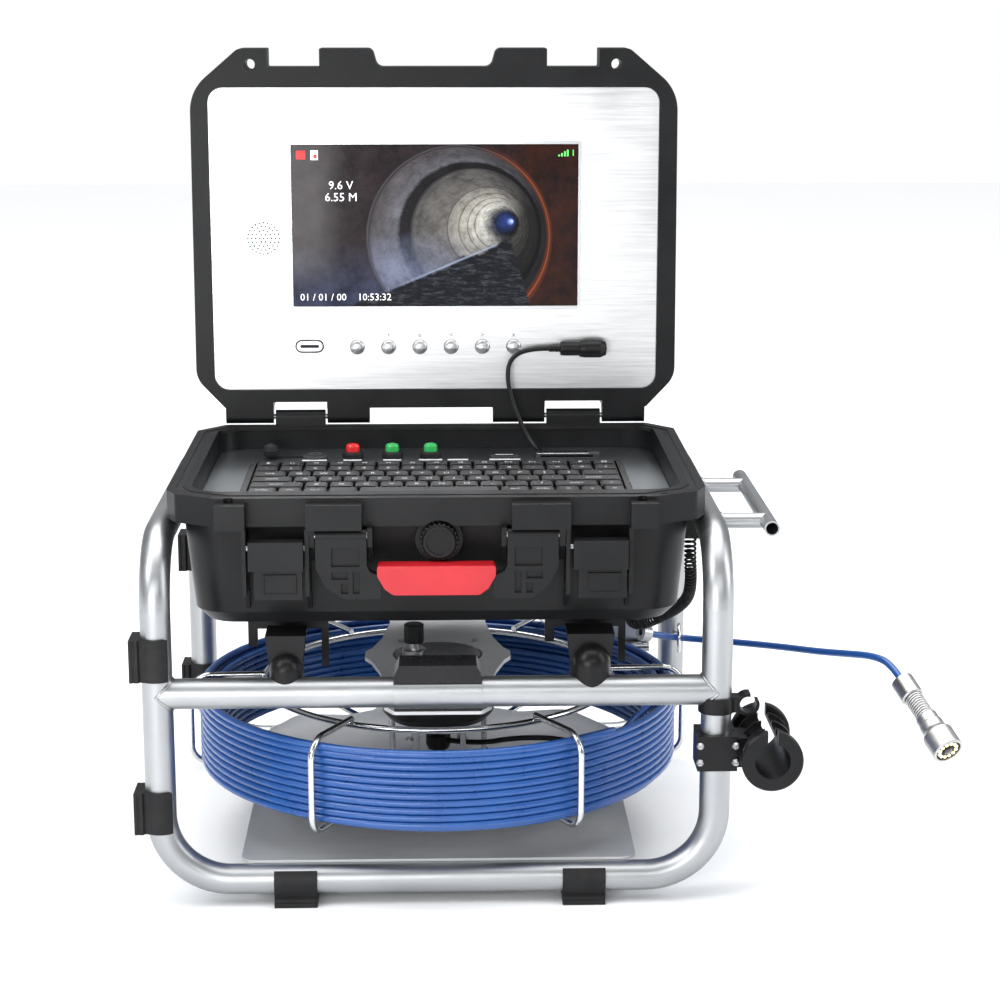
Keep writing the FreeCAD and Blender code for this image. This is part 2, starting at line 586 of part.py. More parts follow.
clamp_screws = []
for z in (87.5, 99.5):
    for x in (HALF_W - 12.3, HALF_W + 12.2):
        head = lathe([(0, 0), (2.6, 0), (2.6, 1.2), (1.8, 2.4), (0, 2.4)], (x, -14.5, z), (0, -1, 0))
        clamp_screws.append(head.cut(box(x - 3, x + 3, -18, -16.1, z - 0.4, z + 0.4)))
FASTENERS += clamp_screws
clip = Part.makeCylinder(8.0, 11, Vector(214.5, -5.5, 126), Vector(0, 1, 0))
clip = clip.cut(Part.makeCylinder(5.8, 11, Vector(214.5, -5.5, 126), Vector(0, 1, 0)))
clip = clip.cut(box(216, 226, -6, 6, 128.5, 136))
band = Part.makeCylinder(TUBE_R + 2, 11, Vector(HALF_W, 0, 120.5))
band = band.fuse(box(201, 209, -5.5, 5.5, 120.5, 131.5))
band = band.cut(Part.makeCylinder(TUBE_R, 30, Vector(HALF_W, 0, 110)))
band = band.cut(Part.makeCylinder(5.8, 12, Vector(214.5, -6, 126), Vector(0, 1, 0)))
band = band.cut(rod((150, 0, CROSS_Z), (HALF_W, 0, CROSS_Z), TUBE_R))
feature("upright_clamps", clamps + [clip.fuse(band)])

# ---------------------------------------------------------------- case base

HALF_C, FRONT, BACK = D["case_half_width"], D["case_front"], D["case_back"]
RIM_TOP, RIM_LOW, FLOOR = D["rim_top"], D["rim_bottom"], D["case_bottom"]
WALL = D["case_wall"]
rim_outline = [
    (-151, FRONT), (151, FRONT), (180, FRONT + 16), (HALF_C, FRONT + 32), (HALF_C, BACK - 24),
    (167, BACK), (-167, BACK), (-HALF_C, BACK - 24), (-HALF_C, FRONT + 32), (-180, FRONT + 16)]
latch_spans = [(low, low + D["latch_width"] + 1) for low in (-129.0, 92.4)]
HANDLE_PIN_Y, HANDLE_PIN_Z, HANDLE_PIN_R = 4.0, 246.0, 2.5
LATCH_PIN_Y, LATCH_PIN_Z = 5.0, 237.0
PIN_R, PIN_BORE, KNUCKLE_R = 2.0, 2.05, 5.4
VALVE_X, VALVE_Z = 1.4, 240.0
SOCKET_Y, SOCKET_Z = 150.0, 217.0
CASE_Y = (FRONT + BACK) / 2


def tub(inset, low):
    """Tapered tub with rounded corners; inset shrinks it on every side."""
    levels = [
        (low, 163 - inset, 44 + inset, 264 - inset, 22),
        (low + 9, 171 - inset, 36 + inset, 272 - inset, 26),
        (RIM_LOW + 0.5, 177 - inset, 27 + inset, 280 - inset, 28)]
    wires = []
    for z, half, y0, y1, radius in levels:
        outline = rounded(rectangle(-half, half, y0, y1), radius)
        edges = []
        for part in outline:
            if part[0] == "line":
                edges.append(Part.makeLine(part[1], part[2]))
            else:
                edges.append(Part.Arc(part[1], part[2], part[3]).toShape())
        wire = Part.Wire(edges)
        wire.translate(Vector(0, 0, z))
        wires.append(wire)
    return Part.makeLoft(wires, True, True)


case = tub(0, FLOOR).fuse(prism(rim_outline, 5, RIM_LOW, RIM_TOP))
for x0, x1 in ((-151, -130.2), (-89.2, -51), (51, 91.2), (132.2, 151)):
    case = case.fuse(prism(rectangle(x0, x1, -3, FRONT + 4), 0, RIM_LOW, RIM_TOP - 2.5))
# Latch bays: side cheeks from the rim band down the front wall.
for x0, x1 in latch_spans:
    for low, high in ((x0 - 4.2, x0 - 1.2), (x1 + 0.2, x1 + 3.2)):
        cheek = prism([(1.0, RIM_LOW), (40, RIM_LOW), (40, 188), (31, 188), (22, 204), (1.0, 204)],
                      0, low, high, "YZ")
        case = case.fuse(cheek)
# Lugs that carry the handle, with the curved outer cheek and F-shaped ribs beside it.
for side in (-1, 1):
    for near, far in ((83.4, 88.0), (44.0, 47.6)):
        x0, x1 = sorted((side * near, side * far))
        lug = prism([(0.0, RIM_LOW + 1), (40, RIM_LOW + 1), (40, 226), (14, 226), (3, 238)],
                    0, x0, x1, "YZ")
        case = case.fuse(lug)
boss = rod((VALVE_X, 17.5, VALVE_Z), (VALVE_X, 40, VALVE_Z), 16.5)
case = case.fuse(boss)
case = case.cut(tub(WALL, FLOOR + WALL))
case = case.cut(prism(rectangle(-171, 171, 33, 275), 24, 240, RIM_TOP + 1))
for side in (-1, 1):
    for near, far in ((80, 90), (42, 50)):
        case = case.cut(rod((side * near, HANDLE_PIN_Y, HANDLE_PIN_Z),
                            (side * far, HANDLE_PIN_Y, HANDLE_PIN_Z), HANDLE_PIN_R + 0.05))
    for x, y in ((141.4 - side * 0.6, 9), (155.5, 21)):
        case = case.cut(Part.makeCylinder(3.4, 30, Vector(side * x, y, RIM_LOW - 5)))
for x0, x1 in latch_spans:
    case = case.cut(rod((x0 - 5, LATCH_PIN_Y, LATCH_PIN_Z), (x1 + 5, LATCH_PIN_Y, LATCH_PIN_Z), PIN_BORE))
# Groove for the seal, ledge for the deck, bore for the relief valve.
walls = []
for wide, deep in ((0.968, 0.955), (0.944, 0.921)):
    outline = [(x * wide, CASE_Y + (y - CASE_Y) * deep) for x, y in rim_outline]
    walls.append(prism(outline, 6, RIM_TOP - 3, RIM_TOP + 1))
groove = walls[0].cut(walls[1])
case = case.cut(groove)
case = case.cut(rod((VALVE_X, 5, VALVE_Z), (VALVE_X, 17.5, VALVE_Z), 14.6))
case = case.cut(rod((VALVE_X, 10, VALVE_Z), (VALVE_X, 45, VALVE_Z), 6.2))
case = case.cut(rod((170, SOCKET_Y, SOCKET_Z), (180, SOCKET_Y, SOCKET_Z), 5.0))
# Hinge knuckles of the base, in the middle of each lid hinge.
HY, HZ = D["hinge_y"], D["hinge_z"]
for x0, x1 in ((-127.7, -88.3), (87.9, 130.5)):
    knuckle = rod((x0, HY, HZ), (x1, HY, HZ), KNUCKLE_R)
    web = prism([(HY - 6, RIM_TOP - 8), (HY + KNUCKLE_R, RIM_TOP - 8), (HY + KNUCKLE_R, HZ),
                 (HY - KNUCKLE_R, HZ)], 0, x0, x1, "YZ")
    case = case.fuse(knuckle.fuse(web))
case = case.cut(rod((-175, HY, HZ), (175, HY, HZ), PIN_BORE))
feature("case_base", max(case.Solids, key=lambda s: s.Volume))
seal = groove.copy()
seal = seal.cut(box(-200, 200, -20, 320, RIM_TOP - 0.5, RIM_TOP + 2))
feature("case_seal", seal)

DECK = D["deck_height"]
deck_z = DECK + D["deck_thickness"]
PRESS_Y, PRESS_XS, JACK_X = 237.0, (-65.2, -34.5, -4.7), -94.6
deck_holes = [(x, PRESS_Y, 6.1) for x in PRESS_XS] + [(JACK_X, PRESS_Y, 7.1)]
ledge_outline = rectangle(-170.6, 170.6, 33.4, 274.6)
deck = slab("deck_panel", ledge_outline, D["deck_thickness"], corner=23.6, round_holes=deck_holes,
            holes=[(rectangle(42, 64, PRESS_Y - 4, PRESS_Y + 5), 1.0)])
deck.Tip.setExpression("Length", "Dims.deck_thickness")
node(deck, z=DECK)

keyboard = prism(rectangle(-140, 140, 61, 183), 6, deck_z, deck_z + 8.4)
keyboard = keyboard.cut(prism(rectangle(-135.5, 135.5, 65.0, 179.0), 3, deck_z + 4.6, deck_z + 9))
feature("keyboard_body", keyboard)
keys = []
key_low, key_high = deck_z + 5.6, deck_z + 9.6
row_depth = 113.0 / 6
KEY_ROWS = [
    [1.0] * 15, [1.0] * 15, [1.4] + [1.0] * 12 + [1.6], [1.7] + [1.0] * 11 + [2.3],
    [2.2] + [1.0] * 10 + [1.8, 1.0], [1.2, 1.0, 1.0, 1.2, 5.6, 1.2, 1.0, 1.0, 0.9, 0.9]]
for row, widths in enumerate(KEY_ROWS):
    unit = 270.0 / sum(widths)
    x = -135.0
    y1 = 178.6 - row * row_depth
    y0 = y1 - row_depth + 2.2
    for width in widths:
        x0, x1 = x + 1.1, x + width * unit - 1.1
        key = prism(rectangle(x0, x1, y0, y1), 1.6, key_low, key_high - 0.8)
        keys.append(key.fuse(prism(rectangle(x0 + 1, x1 - 1, y0 + 1, y1 - 0.6), 1.4, key_low, key_high)))
        x += width * unit
feature("keycaps", keys)

for label, x in zip(("button_red", "button_green_left", "button_green_right"), PRESS_XS):
    DECK_RUBBER.append(lathe([(5.3, -6), (6.0, -6), (6.0, 0), (8.2, 0), (8.2, 3.6), (7.2, 5.2), (5.3, 5.2)],
                             (x, PRESS_Y, deck_z)))
    cap = turned(label, [(0, -3), (5.2, -3), (5.2, 9.2), (4.4, 10.6), (2.4, 11.2), (0, 11.2)])
    node(cap, x, PRESS_Y, deck_z)
jack = lathe([(1.9, -8), (7.0, -8), (7.0, 0), (9.4, 0), (9.4, 1.6), (6.2, 2.2), (6.2, 3.4), (1.9, 3.4)],
             (JACK_X, PRESS_Y, deck_z))
# Dust cap of the jack, lying beside it on its strap.
dust_cap = lathe([(0, 0), (3.6, 0), (4.4, 1.2), (6.0, 3.2), (6.4, 6.0), (5.0, 9.4), (2.2, 11.2),
                  (0, 11.4)], (-128.9, PRESS_Y + 1, deck_z))
dust_cap = dust_cap.fuse(box(-128, JACK_X - 9.4, PRESS_Y + 0.4, PRESS_Y + 1.6, deck_z, deck_z + 1.2))
DECK_RUBBER.append(dust_cap)
usb_port = prism(rectangle(42.2, 63.8, PRESS_Y - 3.8, PRESS_Y + 4.8), 0.8, deck_z - 9, deck_z + 0.8)
usb_port = usb_port.cut(box(45, 61, PRESS_Y - 1.4, PRESS_Y + 2.4, deck_z - 7, deck_z + 2))
slot_reader = prism(rectangle(77.4, 126.8, PRESS_Y - 8, PRESS_Y + 2), 1.0, deck_z, deck_z + 3.6)
slot_reader = slot_reader.cut(box(81, 122, PRESS_Y - 9, PRESS_Y - 2, deck_z + 1.0, deck_z + 2.6))
feature("deck_sockets", [jack, usb_port, slot_reader])

# Battery and recorder board inside the case.
battery = prism(rectangle(-140, -20, 66, 150), 5, FLOOR + WALL, FLOOR + WALL + 42)
recorder = [box(20, 140, 70, 170, FLOOR + WALL + 6, FLOOR + WALL + 7.6)]
for x in (25, 135):
    for y in (75, 165):
        recorder.append(rod((x, y, FLOOR + WALL), (x, y, FLOOR + WALL + 6), 3))
feature("case_electronics", [battery] + recorder)

valve_seat = turned("valve_seat", [(6.0, -14), (6.0, 0), (13.0, 0), (13.0, 1.6), (2.2, 1.6), (2.2, -14)])
node(valve_seat, VALVE_X, 17.5, VALVE_Z, FreeCAD.Rotation(Vector(1, 0, 0), 90))
knob_outline = []
for step in range(24):
    for radius, offset in ((13.2, -0.25), (13.2, 0.05), (12.3, 0.25), (12.3, 0.55)):
        angle = math.radians(15 * (step + offset))
        knob_outline.append((radius * math.cos(angle), radius * math.sin(angle)))
valve_knob = prism(knob_outline, 0, 0, 7.2)
valve_knob = valve_knob.fuse(lathe([(0, 7), (12.2, 7), (11, 9), (8.6, 9), (8.6, 8), (0, 8)]))
valve_knob = valve_knob.fuse(Part.makeCylinder(2.1, 10, Vector(0, 0, -9.6)))
valve_knob.rotate(Vector(0, 0, 0), Vector(1, 0, 0), 90)
feature("relief_valve", valve_knob, VALVE_X, 15.6, VALVE_Z)

# Socket on the right-hand wall, with the coiled lead that hangs from it to the frame.
socket = box(172.6, 198, SOCKET_Y - 8, SOCKET_Y + 8, SOCKET_Z - 8, SOCKET_Z + 8)
socket = socket.cut(tub(0, FLOOR))
socket = socket.fuse(rod((168.5, SOCKET_Y, SOCKET_Z), (176, SOCKET_Y, SOCKET_Z), 4.9))
feature("side_socket", max(socket.Solids, key=lambda s: s.Volume))
curly_route = [(190, 150, 209), (190, 150, 192), (192.5, 163, 170), (193.5, 190, 150), (187, 220, 133),
               (176, 246, 119), (165, 260, 110), (158, 274, 107), (158, 288, 107)]
cord("curly_cord", curly_route, D["curly_dia"])

# ---------------------------------------------------------------- case supports and brackets

supports = []
for x, half, dome_top in ((-105.0, 11.0, 162.5), (106.0, 13.4, 168.0)):
    for back in (False, True):
        block = prism([(x - half - 3, FLOOR), (x + half + 3, FLOOR), (x + half, 150), (x + half, CROSS_Z),
                       (x - half, CROSS_Z), (x - half, 150)], 0, 6, 34, "XZ")
        dome = Part.makeSphere(half, Vector(x, 4, dome_top - half)).fuse(
            Part.makeCylinder(half, dome_top - half - CROSS_Z, Vector(x, 4, CROSS_Z)))
        block = block.fuse(dome).cut(rod((x - 30, 0, CROSS_Z), (x + 30, 0, CROSS_Z), TUBE_R))
        block = block.cut(box(x - 40, x + 40, -60, 60, 100, CROSS_Z + 1))
        block = max(block.Solids, key=lambda s: s.Volume)
        supports.append(mirrored_y(block) if back else block)
brackets = []
for x0, x1, short, tall in ((-134.5, -77.5, 153.0, 138.0), (76.5, 134.0, 155.0, 140.0)):
    shape = prism([(x0, FLOOR), (x0, short), (x0 + 6.5, short), (x0 + 6.5, 166), (x1 - 5, 166),
                   (x1 - 5, tall), (x1, tall), (x1, FLOOR)], 0, 56, 62, "XZ")
    brackets += [shape, mirrored_y(shape)]
feature("case_mounts", supports + brackets)

# ---------------------------------------------------------------- latches and handle

for label, (x0, x1) in zip(("latch_left", "latch_right"), latch_spans):
    latch = prism([(-5.5, 223.2), (6.2, 223.2), (8.0, 226), (8.0, 241), (5.0, 243.5), (-5.5, 243.5)], 0,
                  x0 + 0.6, x1 - 0.6, "YZ")
    plate = prism([(-2.5, 202.5), (3.0, 202.5), (6.5, 224), (-2.5, 224)], 0, x0 + 4, x1 - 1.4, "YZ")
    latch = latch.fuse(plate).fuse(box(x0 + 10.5, x1 - 5.5, -4.0, 0, 206.5, 220.5))
    latch = latch.cut(box(x0 + 11.5, x1 - 6.5, -5.0, -3.4, 207.5, 219.5))
    latch = latch.cut(rod((x0, LATCH_PIN_Y, LATCH_PIN_Z), (x1, LATCH_PIN_Y, LATCH_PIN_Z), PIN_R + 0.06))
    feature(label, latch)
    FASTENERS.append(rod((x0 - 4.2, LATCH_PIN_Y, LATCH_PIN_Z), (x1 + 3.2, LATCH_PIN_Y, LATCH_PIN_Z),
                         PIN_R))

arms = []
for side in (-1, 1):
    arm = [(side * 48.0, 246.0), (side * 83.0, 246.0), (side * 83.0, 224.0), (side * 76.0, 210.0),
           (side * 64.0, 202.0), (side * 38.0, 202.0), (side * 38.0, 218.0), (side * 46.0, 221.0),
           (side * 48.0, 226.0)]
    shape = prism(arm, [2, 3, 8, 8, 8, 3, 3, 4, 4], 0.0, 9.0, "XZ")
    for x0, x1, z0, z1 in ((53, 72, 225, 238), (53, 57.5, 206, 221), (61, 72, 216, 221), (61, 65.5, 206, 213)):
        low, high = sorted((side * x0, side * x1))
        shape = shape.cut(box(low, high, -0.5, 2.2, z0, z1))
    eye_rod = rod((side * 48.0, HANDLE_PIN_Y, HANDLE_PIN_Z), (side * 83.0, HANDLE_PIN_Y, HANDLE_PIN_Z), 4.4)
    shape = shape.fuse(eye_rod)
    shape = shape.cut(box(-90, 90, 8.3, 10, 241, 252))
    arms.append(shape)
bar = box(-40, 40, 0.8, 8.2, 207.5, 220.0)
handle = arms[0].fuse(arms[1]).fuse(bar)
for side in (-1, 1):
    handle = handle.cut(rod((side * 40, HANDLE_PIN_Y, HANDLE_PIN_Z), (side * 92, HANDLE_PIN_Y, HANDLE_PIN_Z),
                            HANDLE_PIN_R + 0.06))
    FASTENERS.append(rod((side * 44, HANDLE_PIN_Y, HANDLE_PIN_Z), (side * 88, HANDLE_PIN_Y, HANDLE_PIN_Z),
                         HANDLE_PIN_R))
feature("handle_arms", handle)
grip = prism([(-41, 226.0), (40, 226.0), (40, 219), (35, 210), (29, 205.5), (-30, 205.5),
              (-36, 210), (-41, 219)], [2, 2, 6, 6, 6, 6, 6, 6], -3.5, 11.0, "XZ")
grip = grip.cut(box(-42, 42, 0.8, 8.2, 207.5, 220.0)).cut(arms[0]).cut(arms[1])
feature("handle_grip", max(grip.Solids, key=lambda s: s.Volume))

# ---------------------------------------------------------------- lid

FACE, LID_D = D["lid_face"], D["lid_depth"]
lid_outline = [
    (-167, 284.6), (167, 284.6), (189.5, 308.5), (188.5, 533),
    (151, 565), (127.5, 565), (127.5, 551), (87, 551), (87, 565), (48, 565), (44, 551), (-44, 551),
    (-48, 565), (-88.5, 565), (-88.5, 551), (-129, 551), (-129, 565), (-151, 565),
    (-188.5, 533), (-189.5, 308.5)]
lid_corners = [3, 3, 20, 34] + [8, 1, 1, 1, 1, 5, 6, 6, 5, 1, 1, 1, 1, 8] + [34, 20]
shell = prism(lid_outline, lid_corners, FACE, FACE + LID_D, "XZ")
shell = shell.cut(prism(rectangle(-175.4, 174.7, 299.2, 535.6), 12, FACE - 1, FACE + 4.0, "XZ"))
shell = shell.cut(prism(rectangle(-169, 168.5, 305.5, 529.5), 8, FACE, FACE + LID_D - 3.2, "XZ"))
for x in (-142.0, 140.8):
    shell = shell.cut(rod((x, FACE - 2, 553), (x, FACE + LID_D + 2, 553), 4.1))
for x0, x1 in ((-129.2, -86.8), (86.4, 132.0)):
    shell = shell.cut(box(x0, x1, FACE - 2, FACE + LID_D + 2, 280, 289.5))
for x0, x1 in ((-167.0, -129.4), (-86.6, -53.0), (45.0, 86.2), (132.2, 166.0)):
    knuckle = rod((x0, HY, HZ), (x1, HY, HZ), KNUCKLE_R)
    web = prism([(FACE, 286.5), (FACE + 17, 286.5), (HY + KNUCKLE_R, HZ), (HY - KNUCKLE_R + 0.02, HZ)],
                0, x0, x1, "YZ")
    shell = shell.fuse(knuckle.fuse(web))
shell = shell.cut(rod((-175, HY, HZ), (175, HY, HZ), PIN_BORE))
feature("lid_shell", max(shell.Solids, key=lambda s: s.Volume))
for x0, x1 in ((-166.5, -53.5), (45.5, 165.5)):
    FASTENERS.append(rod((x0, HY, HZ), (x1, HY, HZ), PIN_R))

PANEL_Y = FACE + 2.0
BUTTON_Z, BUTTON_R = D["button_height"], D["button_radius"]
button_xs = [-62.2 + 24.75 * i for i in range(6)]
SCREEN_Z = D["screen_centre_z"]
half_sw, half_sh = D["screen_width"] / 2, D["screen_height"] / 2
SPEAKER_X, SPEAKER_Z = -134.2, 419.2
speaker_holes = []
for count, radius in ((1, 0), (6, 3.1), (12, 6.2), (18, 9.3), (24, 12.2)):
    for step in range(count):
        angle = 2 * math.pi * step / count
        speaker_holes.append((SPEAKER_X + radius * math.cos(angle),
                              SPEAKER_Z + radius * math.sin(angle), 0.75))


def screen_frame(margin):
    """Rectangle round the display, wider than it by the margin on every side."""
    return rectangle(-half_sw - margin, half_sw + margin,
                     SCREEN_Z - half_sh - margin, SCREEN_Z + half_sh + margin)


pill = rectangle(-111, -88.5, 328.6, 339.2)
lid_panel = slab("lid_panel", rectangle(-175.2, 174.5, 299.4, 535.4), 2.0, "XZ_Plane", corner=11.8,
                 round_holes=[(x, BUTTON_Z, BUTTON_R + 0.25) for x in button_xs] + speaker_holes + [
                     (124.0, 333.2, 5.6)],
                 holes=[(screen_frame(2.6), 1.5), (pill, 5.2)])
node(lid_panel, 0, PANEL_Y + 2.0)
bezel = prism(screen_frame(2.6), 1.5, PANEL_Y - 0.7, PANEL_Y + 3.0, "XZ")
bezel = bezel.cut(prism(screen_frame(0.6), 0.6, PANEL_Y - 2, PANEL_Y + 4, "XZ"))
glass = slab("screen_glass", screen_frame(0.5), 1.2, "XZ_Plane", corner=0.8)
node(glass, 0, PANEL_Y + 2.4)
module = prism(screen_frame(6), 0, PANEL_Y + 3.0, PANEL_Y + 10, "XZ")
speaker = lathe([(0, 0), (15.5, 0), (15.5, 3), (9, 9), (9, 14), (0, 14)],
                (SPEAKER_X, PANEL_Y + 2.2, SPEAKER_Z), (0, 1, 0))
card_slot = prism(rectangle(-110.8, -88.7, 328.8, 339.0), 5.0, PANEL_Y - 0.4, PANEL_Y + 3.5, "XZ")
card_slot = card_slot.cut(prism(rectangle(-107.5, -92, 332.6, 335.4), 0.8, PANEL_Y - 1, PANEL_Y + 2.6, "XZ"))
feature("lid_trims", [bezel, card_slot])
for index, x in enumerate(button_xs):
    cap = turned("lid_button_%d" % (index + 1), [
        (0, -4.2), (BUTTON_R, -4.2), (BUTTON_R, 1.2), (BUTTON_R * 0.86, 2.1),
        (BUTTON_R * 0.5, 2.9), (0, 3.2)])
    node(cap, x, PANEL_Y, BUTTON_Z, FreeCAD.Rotation(Vector(1, 0, 0), 90))
button_board = box(-72, 72, PANEL_Y + 6.2, PANEL_Y + 7.8, 325, 341)
feature("lid_electronics", [module, speaker, button_board])

# Plug on the lid face, with a ribbed neck, and the display lead that leaves it.
PLUG_END = (88.6, 272.4, 332.6)
plug = lathe([(0, 0), (1.9, 0), (2.7, 1.5), (2.7, 9), (5.2, 9.5), (5.6, 12), (5.6, 24), (6.6, 25),
              (7.2, 29), (7.2, 41), (5.2, 45.5), (0, 46.5)], PLUG_END, (1, 0, 0))
for step in range(3):
    start = 2.4 + 2.4 * step
    plug = plug.cut(lathe([(2.2, start), (4, start), (4, start + 1), (2.2, start + 1)], PLUG_END, (1, 0, 0)))
plug = plug.fuse(rod((124.0, 272.4, 333.2), (124.0, 286.0, 333.2), 5.4))
feature("lid_plug", plug)
lid_cord_route = [
    (88.5, 272.4, 332.6), (72, 272.4, 332.6), (58, 271, 325), (56, 270, 309), (60, 268.5, 291),
    (66, 266, 276), (72, 261.5, 264.5), (77.5, 254, 257), (81.5, 246.5, 255.0), (81.5, 239.1, 255.0)]
cord("lid_cord", lid_cord_route, D["lid_cord_dia"])

feature("fasteners", FASTENERS)
feature("deck_rubber", DECK_RUBBER)

# ---------------------------------------------------------------- centre, check and write

DOC.recompute()
footprint = None
for obj in NODES:
    if obj.Label in CORDS:
        continue
    bounds = obj.Shape.BoundBox
    if footprint is None:
        footprint = FreeCAD.BoundBox(bounds)
    footprint.add(bounds)
rows = [name for name, _ in DIMENSIONS]
for name, middle in (("shift_x", (footprint.XMin + footprint.XMax) / 2),
                     ("shift_y", (footprint.YMin + footprint.YMax) / 2)):
    SHEET.set("B%d" % (1 + rows.index(name)), "%.4f" % -middle)
DOC.recompute()
print("shift", SHEET.shift_x, SHEET.shift_y, SHEET.shift_z, "low", footprint.ZMin)

os.makedirs("parts", exist_ok=True)
bad = []
for obj in DOC.Objects:
    if any(word in str(obj.State) for word in ("Invalid", "Error")):
        bad.append(obj.Label)
for obj in NODES:
    shape = obj.Shape
    if shape.isNull() or not shape.isValid() or not shape.Solids:
        bad.append(obj.Label)
        continue
    shape.exportStep(os.path.join("parts", obj.Label + ".step"))
print(len(NODES), "sub-parts; faults:", bad)
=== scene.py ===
"""Looks of the inspection camera: finishes for its machined and moulded pieces, cables and small parts.

Metres. The place of every piece comes from the frame: at() counts from the middle of the front bottom tube,
X to the right, Y to the back, Z up, which is how the machine itself was set out.
"""

import math

import bmesh
import bpy
from mathutils import Matrix, Vector


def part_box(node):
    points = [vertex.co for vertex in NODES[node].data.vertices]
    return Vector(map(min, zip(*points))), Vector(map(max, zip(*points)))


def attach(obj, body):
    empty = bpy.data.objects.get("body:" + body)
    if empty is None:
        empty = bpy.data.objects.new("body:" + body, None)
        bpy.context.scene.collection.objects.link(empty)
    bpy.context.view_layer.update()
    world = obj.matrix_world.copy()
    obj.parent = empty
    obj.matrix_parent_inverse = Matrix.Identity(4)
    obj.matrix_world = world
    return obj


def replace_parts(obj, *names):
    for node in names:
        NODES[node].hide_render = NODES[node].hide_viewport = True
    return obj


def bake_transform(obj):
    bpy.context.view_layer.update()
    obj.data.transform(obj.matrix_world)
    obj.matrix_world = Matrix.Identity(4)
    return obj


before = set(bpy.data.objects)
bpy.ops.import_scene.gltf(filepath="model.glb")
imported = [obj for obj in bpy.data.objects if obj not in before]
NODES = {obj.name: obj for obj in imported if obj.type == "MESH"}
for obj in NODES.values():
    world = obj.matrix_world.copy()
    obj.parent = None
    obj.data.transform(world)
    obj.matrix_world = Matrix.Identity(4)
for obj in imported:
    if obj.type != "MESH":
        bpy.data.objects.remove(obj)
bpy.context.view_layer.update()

TUBE_R = 0.01065
loops_low, loops_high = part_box("frame_loops")
ORIGIN = Vector(((loops_low.x + loops_high.x) / 2, loops_low.y + TUBE_R, loops_low.z + TUBE_R))
REEL_Y = 0.155


def at(x, y, z):
    """A point counted from the middle of the front bottom tube."""
    return ORIGIN + Vector((x, y, z))


# ---------------------------------------------------------------- camera and light

def set_camera():
    pitch, yaw = math.radians(12.53), math.radians(1.602)
    data = bpy.data.cameras.new("view")
    data.lens = 82.39
    data.sensor_width = 36.0
    data.clip_end = 20.0
    camera = bpy.data.objects.new("view", data)
    camera.location = at(0.0005, -1.5145, 0.60775)
    forward = Vector((math.sin(yaw) * math.cos(pitch), math.cos(yaw) * math.cos(pitch), -math.sin(pitch)))
    camera.rotation_euler = forward.to_track_quat("-Z", "Y").to_euler()
    bpy.context.scene.collection.objects.link(camera)
    bpy.context.scene.camera = camera


def area_light(name, place, target, size, power):
    data = bpy.data.lights.new(name, "AREA")
    data.shape = "RECTANGLE"
    data.size, data.size_y = size
    data.energy = power
    lamp = bpy.data.objects.new(name, data)
    lamp.location = place
    lamp.rotation_euler = (Vector(target) - Vector(place)).to_track_quat("-Z", "Y").to_euler()
    bpy.context.scene.collection.objects.link(lamp)


def set_studio():
    """A bright white room that lights the object softly: five large lamps and a broad overhead one."""
    world = bpy.data.worlds.new("studio")
    bpy.context.scene.world = world
    world.use_nodes = True
    nodes, links = world.node_tree.nodes, world.node_tree.links
    walls = nodes["Background"]
    walls.inputs["Color"].default_value = (0.95, 0.97, 1.0, 1.0)
    walls.inputs["Strength"].default_value = 0.34
    backdrop = nodes.new("ShaderNodeBackground")
    backdrop.inputs["Color"].default_value = (1.0, 1.0, 1.0, 1.0)
    backdrop.inputs["Strength"].default_value = 1.0
    path = nodes.new("ShaderNodeLightPath")
    seen = nodes.new("ShaderNodeMixShader")
    links.new(path.outputs["Is Camera Ray"], seen.inputs["Fac"])
    links.new(walls.outputs["Background"], seen.inputs[1])
    links.new(backdrop.outputs["Background"], seen.inputs[2])
    links.new(seen.outputs["Shader"], nodes["World Output"].inputs["Surface"])
    bpy.context.scene.view_settings.view_transform = "Standard"
    middle = at(0.0, REEL_Y, 0.25)
    area_light("top", (0.0, 0.6, 3.0), middle, (3.2, 2.6), 55.0)
    area_light("key", (-1.7, -1.1, 1.9), middle, (1.0, 1.4), 30.0)
    area_light("side", (2.0, -0.4, 1.1), middle, (0.7, 1.6), 20.0)
    area_light("front_strip", (0.3, -2.6, 1.3), middle, (2.2, 0.35), 14.0)
    area_light("under_case", (-0.5, -1.3, 0.34), at(0.0, REEL_Y, 0.12), (0.7, 0.25), 7.0)
    overhead = bpy.data.lights.new("overhead", "SUN")
    overhead.energy = 2.5
    overhead.angle = math.radians(70.0)
    lamp = bpy.data.objects.new("overhead", overhead)
    lamp.rotation_euler = (math.radians(-8.0), 0.0, 0.0)
    bpy.context.scene.collection.objects.link(lamp)


# ---------------------------------------------------------------- finishes

def new_finish(name, colour, rough, metal=0.0):
    """A material with its shader; colour, roughness and metal are set on the shader's own sockets."""
    finish = bpy.data.materials.new(name)
    finish.use_nodes = True
    shader = finish.node_tree.nodes["Principled BSDF"]
    shader.inputs["Base Color"].default_value = (*colour, 1.0)
    shader.inputs["Roughness"].default_value = rough
    shader.inputs["Metallic"].default_value = metal
    return finish


def add(finish, kind, **sockets):
    node = finish.node_tree.nodes.new(kind)
    for name, value in sockets.items():
        node.inputs[name.replace("_", " ")].default_value = value
    return node


def join(finish, source, target):
    finish.node_tree.links.new(source, target)


def shader_of(finish):
    return finish.node_tree.nodes["Principled BSDF"]


